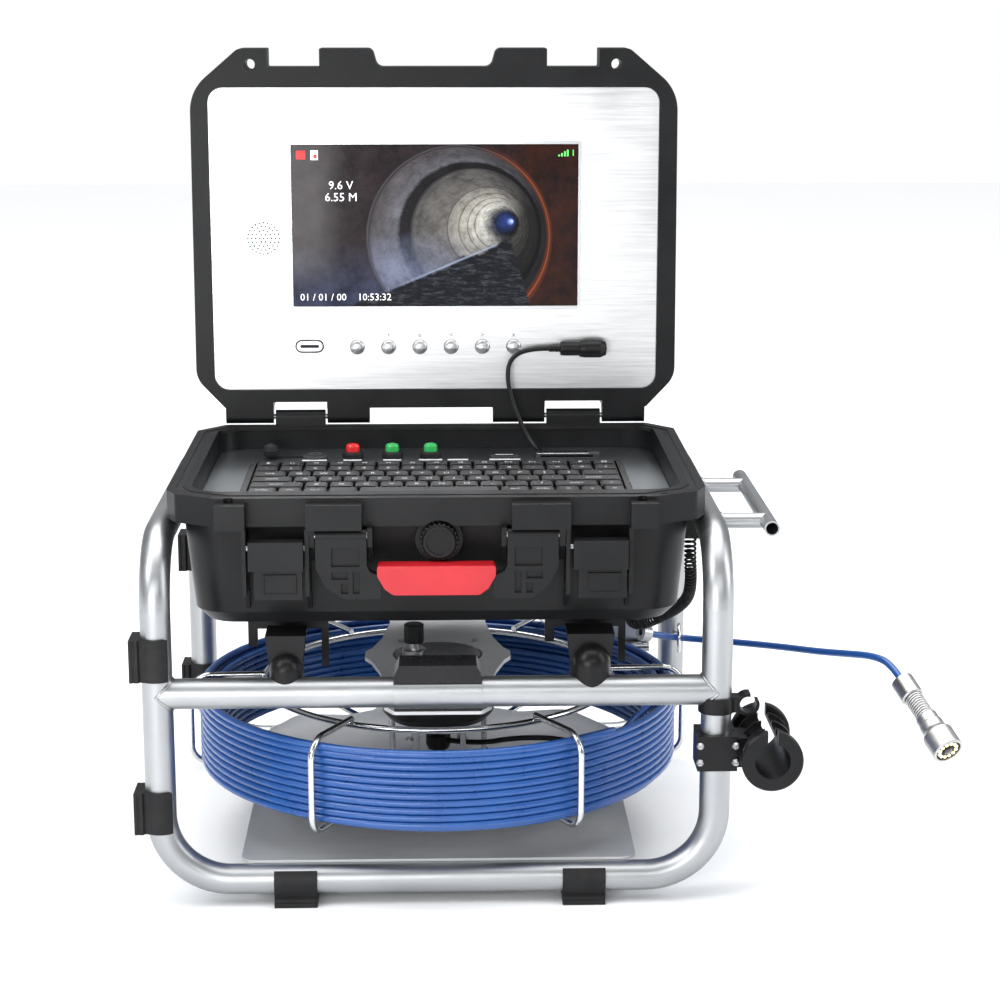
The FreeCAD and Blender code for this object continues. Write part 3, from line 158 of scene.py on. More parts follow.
def placed(finish, stretch=(1.0, 1.0, 1.0), centre=(0.0, 0.0, 0.0)):
    """Object coordinates, moved to a centre and stretched."""
    place = finish.node_tree.nodes.new("ShaderNodeTexCoord")
    mapping = add(finish, "ShaderNodeMapping")
    mapping.vector_type = "POINT"
    mapping.inputs["Scale"].default_value = stretch
    mapping.inputs["Location"].default_value = [-c * s for c, s in zip(centre, stretch)]
    join(finish, place.outputs["Object"], mapping.inputs["Vector"])
    return mapping.outputs["Vector"]


def grain(finish, scale, detail=4.0, stretch=(1.0, 1.0, 1.0), rough=0.55):
    noise = add(finish, "ShaderNodeTexNoise", Scale=scale, Detail=detail, Roughness=rough)
    join(finish, placed(finish, stretch), noise.inputs["Vector"])
    return noise.outputs["Fac"]


def ranged(finish, value, low, high, start=0.3, end=0.7):
    remap = add(finish, "ShaderNodeMapRange")
    remap.inputs["From Min"].default_value = start
    remap.inputs["From Max"].default_value = end
    remap.inputs["To Min"].default_value = low
    remap.inputs["To Max"].default_value = high
    join(finish, value, remap.inputs["Value"])
    return remap.outputs["Result"]


def mixed(finish, factor, first, second):
    """A colour between first and second; either may be a socket."""
    mix = finish.node_tree.nodes.new("ShaderNodeMix")
    mix.data_type = "RGBA"
    join(finish, factor, mix.inputs["Factor"])
    for index, colour in ((6, first), (7, second)):
        if isinstance(colour, tuple):
            mix.inputs[index].default_value = (*colour, 1.0)
        else:
            join(finish, colour, mix.inputs[index])
    return mix.outputs[2]


def math_node(finish, operation, first, second=None, third=None):
    node = finish.node_tree.nodes.new("ShaderNodeMath")
    node.operation = operation
    for index, value in enumerate((first, second, third)):
        if value is None:
            continue
        if isinstance(value, (int, float)):
            node.inputs[index].default_value = value
        else:
            join(finish, value, node.inputs[index])
    return node.outputs[0]


def colour_by(finish, factor, first, second):
    join(finish, mixed(finish, factor, first, second), shader_of(finish).inputs["Base Color"])


def roughness_by(finish, value, low, high, start=0.3, end=0.7):
    join(finish, ranged(finish, value, low, high, start, end), shader_of(finish).inputs["Roughness"])


def relief(finish, height, depth, edge=0.0006):
    """Surface relief over edges that are broken by a small radius."""
    round_edge = add(finish, "ShaderNodeBevel", Radius=edge)
    round_edge.samples = 4
    bump = add(finish, "ShaderNodeBump", Strength=1.0, Distance=depth)
    join(finish, height, bump.inputs["Height"])
    join(finish, round_edge.outputs["Normal"], bump.inputs["Normal"])
    join(finish, bump.outputs["Normal"], shader_of(finish).inputs["Normal"])


def brushed(name, colour, rough, stretch, scale=900.0, depth=0.00002, dark=0.82, metal=1.0):
    """Metal with fine parallel brush marks; stretch is small along the marks."""
    finish = new_finish(name, colour, rough, metal)
    lines = grain(finish, scale, 3.0, stretch, 0.7)
    clouds = grain(finish, 9.0, 3.0)
    shade = tuple(c * dark for c in colour)
    colour_by(finish, ranged(finish, lines, 0.0, 1.0, 0.25, 0.75), shade, colour)
    roughness_by(finish, clouds, rough * 0.82, rough * 1.2)
    relief(finish, lines, depth, 0.0004)
    shader_of(finish).inputs["Anisotropic"].default_value = 0.35
    return finish


def moulded(name, colour, rough, texture=2600.0, depth=0.00003, scuff=1.5, edge=0.0006):
    """Moulded plastic with spark-eroded texture, faint flow shades and polished-off patches."""
    finish = new_finish(name, colour, rough)
    shader_of(finish).inputs["Specular IOR Level"].default_value = 0.20
    skin = grain(finish, texture, 2.0)
    flow = grain(finish, 22.0, 5.0)
    lighter = tuple(min(1.0, c * scuff + 0.002) for c in colour)
    colour_by(finish, ranged(finish, flow, 0.0, 1.0, 0.35, 0.75), colour, lighter)
    roughness_by(finish, flow, rough * 0.85, rough * 1.18)
    relief(finish, skin, depth, edge)
    return finish


def tube_steel():
    """Satin stainless tube, buffed round the bends, with faint long drawing lines."""
    finish = new_finish("tube_steel", (0.37, 0.38, 0.39), 0.38, 1.0)
    lines = grain(finish, 260.0, 4.0, (0.12, 1.0, 0.12), 0.6)
    clouds = grain(finish, 14.0, 4.0)
    colour_by(finish, ranged(finish, clouds, 0.0, 1.0), (0.35, 0.36, 0.37), (0.41, 0.42, 0.43))
    roughness_by(finish, lines, 0.34, 0.44)
    relief(finish, lines, 0.000004, 0.0003)
    return finish


def chrome_wire():
    finish = new_finish("chrome_wire", (0.60, 0.61, 0.62), 0.16, 1.0)
    specks = grain(finish, 300.0, 4.0)
    colour_by(finish, ranged(finish, specks, 0.0, 1.0, 0.5, 0.8), (0.60, 0.61, 0.62), (0.50, 0.51, 0.52))
    roughness_by(finish, specks, 0.12, 0.24)
    relief(finish, specks, 0.000008, 0.0002)
    return finish


def blasted_grey(name, colour, rough):
    """Bead-blasted light grey paint."""
    finish = new_finish(name, colour, rough, 0.12)
    beads = grain(finish, 3200.0, 2.0)
    clouds = grain(finish, 18.0, 5.0)
    lighter = tuple(c * 1.12 for c in colour)
    colour_by(finish, ranged(finish, clouds, 0.0, 1.0), colour, lighter)
    roughness_by(finish, clouds, rough * 0.9, rough * 1.2)
    relief(finish, beads, 0.00004, 0.0004)
    return finish


def turned_dark():
    """Blackened disc with turning marks round the reel's axis."""
    finish = new_finish("turned_dark", (0.09, 0.09, 0.095), 0.30, 0.9)
    middle = at(0.0, REEL_Y, 0.115)
    rings = finish.node_tree.nodes.new("ShaderNodeTexWave")
    rings.wave_type = "RINGS"
    rings.rings_direction = "Z"
    rings.inputs["Scale"].default_value = 420.0
    rings.inputs["Distortion"].default_value = 0.6
    join(finish, placed(finish, (1, 1, 1), middle), rings.inputs["Vector"])
    clouds = grain(finish, 30.0, 4.0)
    colour_by(finish, ranged(finish, clouds, 0.0, 1.0), (0.075, 0.075, 0.08), (0.13, 0.13, 0.135))
    roughness_by(finish, clouds, 0.22, 0.40)
    relief(finish, rings.outputs["Fac"], 0.000012, 0.0004)
    return finish


def push_cable_skin():
    """Glossy blue jacket with a faint orange-peel skin and dust in the valleys."""
    finish = new_finish("push_cable_skin", (0.008, 0.070, 0.28), 0.32)
    peel = grain(finish, 900.0, 2.0)
    dust = grain(finish, 45.0, 6.0)
    colour_by(finish, ranged(finish, dust, 0.0, 1.0, 0.30, 0.85), (0.007, 0.062, 0.25), (0.010, 0.082, 0.31))
    roughness_by(finish, dust, 0.24, 0.42)
    relief(finish, peel, 0.00002, 0.0)
    shader_of(finish).inputs["Coat Weight"].default_value = 0.25
    shader_of(finish).inputs["Coat Roughness"].default_value = 0.2
    return finish


def soft_rubber(name, colour=(0.007, 0.007, 0.0075), rough=0.58):
    finish = new_finish(name, colour, rough)
    shader_of(finish).inputs["Specular IOR Level"].default_value = 0.25
    skin = grain(finish, 1500.0, 3.0)
    bloom = grain(finish, 60.0, 5.0)
    colour_by(finish, ranged(finish, bloom, 0.0, 1.0, 0.45, 0.8), colour, (0.020, 0.020, 0.021))
    roughness_by(finish, bloom, rough * 0.85, rough * 1.15)
    relief(finish, skin, 0.00003, 0.0005)
    return finish


def clear_red():
    finish = new_finish("grip_red", (0.46, 0.006, 0.014), 0.34)
    skin = grain(finish, 1800.0, 2.0)
    wear = grain(finish, 40.0, 5.0)
    colour_by(finish, ranged(finish, wear, 0.0, 1.0, 0.4, 0.8), (0.44, 0.005, 0.012), (0.52, 0.010, 0.020))
    roughness_by(finish, wear, 0.28, 0.42)
    relief(finish, skin, 0.00002, 0.0007)
    return finish


def lamp_cap(name, colour):
    """Tinted push cap over a small lamp."""
    finish = new_finish(name, colour, 0.22)
    inner = grain(finish, 500.0, 3.0)
    colour_by(finish, ranged(finish, inner, 0.0, 1.0), tuple(c * 0.75 for c in colour), colour)
    roughness_by(finish, inner, 0.16, 0.28)
    relief(finish, inner, 0.00001, 0.0003)
    shader_of(finish).inputs["Emission Color"].default_value = (*colour, 1.0)
    shader_of(finish).inputs["Emission Strength"].default_value = 0.25
    return finish


def board_green():
    finish = new_finish("board_green", (0.02, 0.12, 0.05), 0.4)
    tracks = finish.node_tree.nodes.new("ShaderNodeTexBrick")
    tracks.inputs["Scale"].default_value = 160.0
    join(finish, placed(finish), tracks.inputs["Vector"])
    colour_by(finish, tracks.outputs["Fac"], (0.02, 0.12, 0.05), (0.05, 0.20, 0.09))
    relief(finish, tracks.outputs["Fac"], 0.00002, 0.0003)
    return finish


def pipe_picture():
    """Lit picture on the display: the inside of an old pipe that runs away to a bright far end.

    A point q of the picture, counted from the far end, lies on the ring of the pipe with size s where
    |q - s * lean| = s * reach; a small s is far away and s = 1 is the nearest joint. The unit is half the
    height of the display.
    """
    finish = new_finish("pipe_picture", (0.006, 0.006, 0.007), 0.10)
    shader_of(finish).inputs["Specular IOR Level"].default_value = 0.12
    low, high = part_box("screen_glass")
    half = (high.z - low.z) / 2
    far_end = (low + high) / 2 + Vector((0.96 * half, 0.0, 0.055 * half))
    lean_x, lean_z, reach = -0.673, -0.20, 1.13

    spread = finish.node_tree.nodes.new("ShaderNodeSeparateXYZ")
    join(finish, placed(finish, (1 / half, 1 / half, 1 / half), far_end), spread.inputs[0])
    x, z = spread.outputs["X"], spread.outputs["Z"]

    def times(first, second):
        return math_node(finish, "MULTIPLY", first, second)

    def plus(first, second):
        return math_node(finish, "ADD", first, second)

    def line_at(value, place, width):
        """One where value is at the place, falling to nought over the width."""
        away = math_node(finish, "ABSOLUTE", plus(value, -place))
        return ranged(finish, away, 1.0, 0.0, 0.0, width)

    squares = plus(times(x, x), times(z, z))
    along = plus(times(x, lean_x), times(z, lean_z))
    spare = reach ** 2 - lean_x ** 2 - lean_z ** 2
    root = math_node(finish, "SQRT", plus(times(along, along), times(squares, spare)))
    size = times(math_node(finish, "SUBTRACT", root, along), 1 / spare)
    ring_x = plus(x, times(size, -lean_x))
    ring_z = plus(z, times(size, -lean_z))
    turn = math_node(finish, "ARCTAN2", ring_z, ring_x)
    depth = math_node(finish, "LOGARITHM", plus(size, 0.02), 2.718)

    wall = finish.node_tree.nodes.new("ShaderNodeCombineXYZ")
    join(finish, times(math_node(finish, "SINE", turn), 1.6), wall.inputs[0])
    join(finish, times(math_node(finish, "COSINE", turn), 1.6), wall.inputs[1])
    join(finish, times(depth, 3.2), wall.inputs[2])
    stains = add(finish, "ShaderNodeTexNoise", Scale=2.2, Detail=11.0, Roughness=0.74)
    join(finish, wall.outputs[0], stains.inputs["Vector"])

    # Shade of the wall from the far end to the nearest joint.
    stops = [(0.0, (1.0, 1.0, 1.0)), (0.016, (0.30, 0.45, 1.0)), (0.04, (0.02, 0.05, 0.22)),
             (0.12, (0.006, 0.012, 0.04)), (0.155, (0.10, 0.10, 0.11)), (0.21, (0.56, 0.55, 0.50)),
             (0.36, (0.36, 0.34, 0.30)), (0.44, (0.24, 0.23, 0.21)), (0.46, (0.15, 0.14, 0.13)),
             (0.68, (0.10, 0.095, 0.092)), (0.71, (0.010, 0.009, 0.010)), (0.775, (0.014, 0.012, 0.013)),
             (0.80, (0.13, 0.13, 0.15)), (0.97, (0.085, 0.075, 0.078)), (1.0, (0.006, 0.006, 0.008))]
    ramp = finish.node_tree.nodes.new("ShaderNodeValToRGB")
    ramp.color_ramp.elements[0].position = 0.0
    ramp.color_ramp.elements[1].position = 1.0
    for place, colour in stops[1:-1]:
        ramp.color_ramp.elements.new(place)
    for element, (place, colour) in zip(ramp.color_ramp.elements, stops):
        element.position = place
        element.color = (*colour, 1.0)
    uneven = times(plus(stains.outputs["Fac"], -0.5), 0.05)
    join(finish, plus(size, uneven), ramp.inputs["Fac"])

    # The lamp lights the left of the wall; joints show as thin dark rings.
    facing = math_node(finish, "COSINE", plus(turn, -2.75))
    catch = ranged(finish, facing, 0.10, 1.25, -0.75, 0.8)
    grime = times(ranged(finish, stains.outputs["Fac"], 0.45, 1.45, 0.34, 0.66), catch)
    for place in (0.26, 0.31, 0.37, 0.45):
        grime = times(grime, plus(1.0, times(line_at(size, place, 0.008), -0.6)))
    far_part = ranged(finish, size, 1.0, 0.0, 0.02, 0.14)
    lit_wall = finish.node_tree.nodes.new("ShaderNodeVectorMath")
    lit_wall.operation = "SCALE"
    join(finish, ramp.outputs["Color"], lit_wall.inputs[0])
    join(finish, math_node(finish, "MAXIMUM", grime, far_part), lit_wall.inputs["Scale"])

    # Outside the nearest joint: brown stone, bluish at the bottom left and rusty at the right.
    stone = add(finish, "ShaderNodeTexNoise", Scale=3.0, Detail=10.0, Roughness=0.72)
    join(finish, placed(finish, (1 / half, 1 / half, 1 / half), far_end), stone.inputs["Vector"])
    patches = ranged(finish, stone.outputs["Fac"], 0.0, 1.0, 0.35, 0.70)
    dark_stone = mixed(finish, patches, (0.010, 0.008, 0.010), (0.050, 0.034, 0.034))
    blue_stone = mixed(finish, patches, (0.016, 0.020, 0.045), (0.075, 0.085, 0.150))
    rusty_stone = mixed(finish, patches, (0.010, 0.004, 0.003), (0.055, 0.014, 0.006))
    low_left = times(ranged(finish, z, 1.0, 0.0, -0.85, -0.25), ranged(finish, x, 1.0, 0.0, -1.7, -1.0))
    to_right = ranged(finish, x, 0.0, 1.0, -0.4, 0.2)
    left_stone = mixed(finish, low_left, dark_stone, blue_stone)
    sides = mixed(finish, to_right, left_stone, rusty_stone)
    outside = ranged(finish, size, 0.0, 1.0, 0.985, 1.015)
    walled = mixed(finish, outside, lit_wall.outputs[0], sides)
    lip = line_at(size, 1.0, 0.012)
    pale_lip = mixed(finish, times(lip, 0.55), walled, (0.16, 0.15, 0.16))
    right = ranged(finish, ring_x, 0.0, 1.0, 0.25, 0.9)
    halo = times(line_at(size, 1.0, 0.10), times(right, 0.35))
    rusted = mixed(finish, plus(halo, times(lip, right)), pale_lip, (0.42, 0.09, 0.025))

    # Blue light on the lower left of the wall.
    blue_wall = times(ranged(finish, z, 1.0, 0.0, -0.75, -0.12), ranged(finish, x, 1.0, 0.0, -0.9, -0.2))
    inside = ranged(finish, size, 1.0, 0.0, 0.98, 1.0)
    tinted = mixed(finish, times(times(blue_wall, inside), times(grime, 0.42)), rusted, (0.34, 0.40, 0.62))

    # Dark water along the bottom, with a bright edge on the left and broken glints.
    shore = plus(times(x, 0.417), plus(times(z, -1.0), -0.21))
    bank = plus(times(x, -3.26), plus(times(z, -1.0), -0.30))
    rough_edge = times(plus(stone.outputs["Fac"], -0.5), 0.35)
    water = times(ranged(finish, plus(shore, rough_edge), 0.0, 1.0, -0.01, 0.03),
                  ranged(finish, plus(bank, rough_edge), 0.0, 1.0, -0.02, 0.06))
    glint = add(finish, "ShaderNodeTexNoise", Scale=6.0, Detail=9.0, Roughness=0.8)
    join(finish, placed(finish, (0.8 / half, 1 / half, 3.6 / half), far_end), glint.inputs["Vector"])
    spark = ranged(finish, glint.outputs["Fac"], 0.0, 1.0, 0.50, 0.72)
    stream = mixed(finish, spark, (0.006, 0.007, 0.010), (0.115, 0.125, 0.155))
    flooded = mixed(finish, water, tinted, stream)
    edge_line = times(line_at(shore, 0.0, 0.022), ranged(finish, x, 1.0, 0.0, -0.25, -0.15))
    edge_line = times(edge_line, ranged(finish, x, 0.0, 1.0, -1.7, -0.9))
    picture = mixed(finish, times(edge_line, 0.75), flooded, (0.45, 0.52, 0.72))
    join(finish, picture, shader_of(finish).inputs["Emission Color"])
    shader_of(finish).inputs["Emission Strength"].default_value = 1.05
    smear = grain(finish, 60.0, 4.0)
    roughness_by(finish, smear, 0.05, 0.12)
    return finish


def printed(name, colour, glow=0.0):
    """Thin printed or lit mark."""
    finish = new_finish(name, colour, 0.5)
    ink = grain(finish, 900.0, 3.0)
    colour_by(finish, ranged(finish, ink, 0.0, 1.0), tuple(c * 0.9 for c in colour), colour)
    if glow:
        shader_of(finish).inputs["Emission Color"].default_value = (*colour, 1.0)
        shader_of(finish).inputs["Emission Strength"].default_value = glow
    return finish


def lens_glass():
    finish = new_finish("lens_glass", (0.012, 0.014, 0.02), 0.03)
    coating = grain(finish, 400.0, 2.0)
    colour_by(finish, ranged(finish, coating, 0.0, 1.0), (0.010, 0.012, 0.02), (0.02, 0.018, 0.035))
    shader_of(finish).inputs["Coat Weight"].default_value = 1.0
    shader_of(finish).inputs["Coat Roughness"].default_value = 0.02
    return finish


FINISH = {
    "tube": tube_steel(),
    "wire": chrome_wire(),
    "hub": blasted_grey("hub_grey", (0.80, 0.81, 0.82), 0.46),
    "disc": turned_dark(),
    "floor_plate": blasted_grey("plate_grey", (0.78, 0.79, 0.80), 0.40),
    "painted": moulded("bracket_black", (0.010, 0.010, 0.011), 0.26, 1600.0, 0.00001, 1.3),
    "tray": brushed("tray_steel", (0.54, 0.55, 0.56), 0.42, (0.02, 1.0, 1.0), 700.0, metal=0.4),
    "panel": brushed("panel_aluminium", (0.76, 0.765, 0.77), 0.34, (0.035, 1.0, 1.0), 620.0, 0.00004, 0.72),
    "deck": brushed("deck_aluminium", (0.36, 0.38, 0.40), 0.34, (0.02, 1.0, 1.0), 1400.0, 0.00002, 0.78),
    "screw": brushed("screw_steel", (0.45, 0.45, 0.46), 0.30, (1.0, 1.0, 1.0), 1200.0),
    "head": brushed("camera_steel", (0.56, 0.555, 0.55), 0.36, (1.0, 1.0, 1.0), 500.0, 0.000004),
    "case": moulded("case_plastic", (0.0055, 0.0057, 0.0062), 0.38),
    "black": moulded("black_plastic", (0.0045, 0.0045, 0.0050), 0.34, 2200.0, 0.00002),
    "insert": moulded("insert_grey", (0.045, 0.045, 0.048), 0.40, 2600.0, 0.00002),
    "key_frame": moulded("key_frame", (0.010, 0.010, 0.011), 0.30, 2800.0, 0.00002),
    "keys": moulded("key_caps", (0.012, 0.012, 0.013), 0.30, 3000.0, 0.00002, 1.4, 0.0005),
    "rubber": soft_rubber("foot_rubber"),
    "cord": soft_rubber("cord_rubber", (0.006, 0.006, 0.0065), 0.42),
    "cable": push_cable_skin(),
    "red": clear_red(),
    "lamp_red": lamp_cap("lamp_red", (0.62, 0.02, 0.02)),
    "lamp_green": lamp_cap("lamp_green", (0.03, 0.38, 0.09)),
    "board": board_green(),
    "silver": brushed("button_silver", (0.66, 0.67, 0.68), 0.28, (1.0, 1.0, 1.0), 900.0),
    "picture": pipe_picture(),
    "white": printed("mark_white", (0.72, 0.73, 0.74)),
    "ink": printed("mark_grey", (0.10, 0.10, 0.11)),
    "lit_white": printed("lit_white", (0.75, 0.76, 0.78), 1.0),
    "lit_red": printed("lit_red", (0.72, 0.03, 0.03), 0.8),
    "lit_green": printed("lit_green", (0.10, 0.75, 0.12), 0.9),
    "led": printed("led_warm", (0.95, 0.86, 0.45), 1.6),
    "lens": lens_glass(),
}

CAD_FINISH = {
    "frame_loops": "tube", "crossbars": "tube", "crossbar_sleeves": "tube", "side_handle": "tube",
    "cable_guide": "tube", "base_tray": "tray", "reel_plate": "floor_plate", "bridge_brackets": "painted",
    "hub_plate": "hub",
    "hub_spindle": "disc", "bearings": "screw", "fasteners": "screw", "reel_cage": "wire",
    "cable_eyelet": "wire",
    "tube_feet": "rubber", "case_seal": "rubber", "deck_rubber": "rubber", "plunger_barrel": "screw",
    "reel_bowl": "black", "slip_ring": "black", "camera_holder": "black", "upright_clamps": "black",
    "case_base": "case", "lid_shell": "case", "handle_arms": "case", "latch_left": "case",
    "latch_right": "case",
    "case_mounts": "black", "valve_seat": "black", "relief_valve": "black", "side_socket": "black",
    "handle_grip": "red", "button_red": "lamp_red", "button_green_left": "lamp_green",
    "button_green_right": "lamp_green", "deck_sockets": "insert", "lid_trims": "silver", "lid_panel": "panel",
    "deck_panel": "deck", "keyboard_body": "key_frame", "keycaps": "keys", "case_electronics": "board",
    "lid_electronics": "board", "screen_glass": "picture", "lid_plug": "cord", "camera_housing": "head",
    "lid_button_1": "silver", "lid_button_2": "silver", "lid_button_3": "silver", "lid_button_4": "silver",
    "lid_button_5": "silver", "lid_button_6": "silver",
}


def finish_cad_pieces():
    for name, finish in CAD_FINISH.items():
        mesh = NODES[name].data
        mesh.materials.clear()
        mesh.materials.append(FINISH[finish])


# ---------------------------------------------------------------- modelling helpers

def finished_piece(name, shape, finish, body, smooth=35.0):
    """Turns a bmesh into a piece that rides on a body."""
    mesh = bpy.data.meshes.new(name)
    shape.to_mesh(mesh)
    shape.free()
    mesh.materials.append(FINISH[finish])
    piece = bpy.data.objects.new(name, mesh)
    bpy.context.scene.collection.objects.link(piece)
    mesh.shade_smooth()
    mesh.set_sharp_from_angle(angle=math.radians(smooth))
    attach(piece, body)
    return piece


def turned_shape(profile, base, axis, steps=48):
    """A closed turned shape in a bmesh of its own."""
    shape = bmesh.new()
    points = [shape.verts.new((radius, 0.0, height)) for radius, height in profile]
    edges = [shape.edges.new(pair) for pair in zip(points[:-1], points[1:])]
    bmesh.ops.spin(shape, geom=points + edges, cent=(0, 0, 0), axis=(0, 0, 1), angle=math.tau, steps=steps,
                   use_merge=True)
    bmesh.ops.remove_doubles(shape, verts=shape.verts, dist=1e-7)
    bmesh.ops.recalc_face_normals(shape, faces=shape.faces)
    turn = Vector(axis).to_track_quat("Z", "Y").to_matrix().to_4x4()
    bmesh.ops.transform(shape, matrix=Matrix.Translation(base) @ turn, verts=shape.verts)
    return shape


def merge_into(shape, other):
    """Adds another bmesh to this one."""
    mesh = bpy.data.meshes.new("part")
    other.to_mesh(mesh)
    other.free()
    shape.from_mesh(mesh)
    bpy.data.meshes.remove(mesh)


def bar_shape(low, high, rounding):
    """A block between two corners with rounded edges."""
    shape = bmesh.new()
    bmesh.ops.create_cube(shape, size=1.0)
    size = high - low
    bmesh.ops.scale(shape, vec=size, verts=shape.verts)
    bmesh.ops.translate(shape, vec=(low + high) / 2, verts=shape.verts)
    bmesh.ops.bevel(shape, geom=shape.edges[:], offset=rounding, segments=2, affect="EDGES", profile=0.5,
                    material=-1)
    return shape


# ---------------------------------------------------------------- cables and cords

def nurbs_line(name, points):
    """A smooth open line with the route's points as its control points."""
    data = bpy.data.curves.new(name, "CURVE")
    data.dimensions = "3D"
    line = data.splines.new("NURBS")
    line.points.add(len(points) - 1)
    for point, place in zip(line.points, points):
        point.co = (*place, 1.0)
    line.order_u = 3
    line.use_endpoint_u = True
    line.resolution_u = 8
    return data


def cable(name, points, diameter, finish, body, sides=3, resolution=6):
    data = nurbs_line(name, points)
    data.splines[0].resolution_u = resolution
    data.bevel_depth = diameter / 2
    data.bevel_resolution = sides
    data.use_fill_caps = True
    data.materials.append(FINISH[finish])
    piece = bpy.data.objects.new(name, data)
    bpy.context.scene.collection.objects.link(piece)
    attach(piece, body)
    return piece


def line_points(points, resolution=12):
    """Places along the smooth line through a route, close together."""
    data = nurbs_line("guide_line", points)
    data.splines[0].resolution_u = resolution
    holder = bpy.data.objects.new("guide_line", data)
    bpy.context.scene.collection.objects.link(holder)
    bpy.context.view_layer.update()
    mesh = bpy.data.meshes.new_from_object(holder)
    places = [v.co.copy() for v in mesh.vertices]
    bpy.data.objects.remove(holder)
    bpy.data.curves.remove(data)
    bpy.data.meshes.remove(mesh)
    return places


def length_of(places):
    return sum((b - a).length for a, b in zip(places[:-1], places[1:]))


def helix_round(places, radius, pitch, per_turn):
    """Points of a helix wound round a line, carried along without twisting."""
    along = (places[1] - places[0]).normalized()
    side = along.orthogonal().normalized()
    step = pitch / per_turn
    points, travelled, target, turn = [], 0.0, 0.0, 0.0
    for a, b in zip(places[:-1], places[1:]):
        way = b - a
        span = way.length
        if span < 1e-9:
            continue
        heading = way / span
        side = (side - heading * side.dot(heading)).normalized()
        other = heading.cross(side)
        while target <= travelled + span:
            spot = a + heading * (target - travelled)
            points.append(spot + (side * math.cos(turn) + other * math.sin(turn)) * radius)
            target += step
            turn += math.tau / per_turn
        travelled += span
    return points


CABLE_DIA = 0.0055
HUB_LEAD_DIA = 0.004
LID_CORD_DIA = 0.0036
CURLY_WIRE, CURLY_RADIUS, CURLY_PITCH = 0.0020, 0.0039, 0.0037
LAYER_STEP = 0.0054
HUB_LEAD = [(0.0085, 0.1505, 0.050), (0.0309, 0.1386, 0.051), (0.058, 0.126, 0.060), (0.092, 0.112, 0.064),
            (0.119, 0.093, 0.060), (0.138, 0.072, 0.058)]
PUSH_LEAD = [(0.168, 0.273, 0.099), (0.1845, 0.281, 0.094), (0.205, 0.2815, 0.0915), (0.228, 0.267, 0.0935),
             (0.250, 0.241, 0.0985), (0.272, 0.208, 0.105), (0.293, 0.173, 0.1115), (0.312, 0.142, 0.1185),
             (0.3245, 0.1215, 0.123), (0.3348, 0.106, 0.1222), (0.3403, 0.093, 0.114)]
CURLY_ROUTE = [(0.190, 0.150, 0.209), (0.190, 0.150, 0.192), (0.1925, 0.163, 0.170), (0.1935, 0.190, 0.150),
               (0.187, 0.220, 0.133), (0.176, 0.246, 0.119), (0.165, 0.260, 0.110), (0.158, 0.274, 0.107),
               (0.158, 0.288, 0.107)]
LID_CORD = [(0.0885, 0.2724, 0.3326), (0.072, 0.2724, 0.3326), (0.058, 0.271, 0.325), (0.056, 0.270, 0.309),
            (0.060, 0.2685, 0.291), (0.066, 0.266, 0.276), (0.072, 0.2615, 0.2645), (0.0775, 0.254, 0.257),
            (0.0815, 0.2465, 0.255), (0.0815, 0.2391, 0.255)]


def coil_points():
    """Turns of the wound cable, layer by layer from the inside; each layer rises or falls."""
    row = 0.0056
    low = 0.0389 + CABLE_DIA / 2 + 0.0001
    # Radius, turns, first row, way up or down, and how far outwards its first half turn climbs.
    layers = [(0.16625, 7, 0.0, 1, 0.0),
              (0.17170, 10, 9.4, -1, LAYER_STEP),
              (0.17715, 11, 0.0, 1, LAYER_STEP)]
    per_turn = 24
    turn = math.radians(59.0)
    points = []
    for radius, turns, first_row, way, climb in layers:
        steps = turns * per_turn
        for step in range(steps):
            done = step / per_turn
            rows = first_row + way * done * (turns - 0.6) / turns
            ease = min(1.0, done / 0.5)
            reach = radius - (1.0 - ease) * climb
            reach = reach / math.cos(math.pi / per_turn)
            height = low + row * min(10.0, max(0.0, rows))
            points.append(at(reach * math.sin(turn), REEL_Y - reach * math.cos(turn), height))
            turn += math.tau / per_turn
    return points


def wind_cable():
    turns = coil_points()
    coil = cable("wound_cable", turns, CABLE_DIA, "cable", "reel", 2, 3)
    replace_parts(coil, "push_cable_coil")
    length_of(line_points(turns, 3))
    lead = [at(*p) for p in HUB_LEAD]
    inner = cable("hub_cable", lead, HUB_LEAD_DIA, "cord", "reel")
    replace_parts(inner, "hub_lead")
    length_of(line_points(lead))


def lay_push_cable(camera_pieces):
    route = [at(*p) for p in PUSH_LEAD]
    lead = cable("push_cable", route, CABLE_DIA, "cable", "chassis", 4, 10)
    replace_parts(lead, "push_cable_lead")
    length_of(line_points(route))


def hang_curly_cord():
    route = line_points([at(*p) for p in CURLY_ROUTE])
    points = helix_round(route, CURLY_RADIUS, CURLY_PITCH, 12)
    cord = cable("curly_cord_wire", points, CURLY_WIRE, "cord", "chassis", 2, 3)
    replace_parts(cord, "curly_cord")
    length_of(line_points(points, 2))


def lay_lid_cord():
    """The display's lead: a tube that bends across the lid's hinge."""
    route = [at(*p) for p in LID_CORD]
    data = nurbs_line("display_lead", route)
    data.splines[0].resolution_u = 12
    data.bevel_depth = LID_CORD_DIA / 2
    data.bevel_resolution = 3
    data.use_fill_caps = True
    holder = bpy.data.objects.new("display_lead_line", data)
    bpy.context.scene.collection.objects.link(holder)
    bpy.context.view_layer.update()
    mesh = bpy.data.meshes.new_from_object(holder)
    mesh.name = "display_lead"
    bpy.data.objects.remove(holder)
    mesh.materials.clear()
    mesh.materials.append(FINISH["cord"])
    piece = bpy.data.objects.new("display_lead", mesh)
    bpy.context.scene.collection.objects.link(piece)
    mesh.shade_smooth()
    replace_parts(piece, "lid_cord")
    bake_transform(piece)
    path = line_points(route)


# ---------------------------------------------------------------- camera head

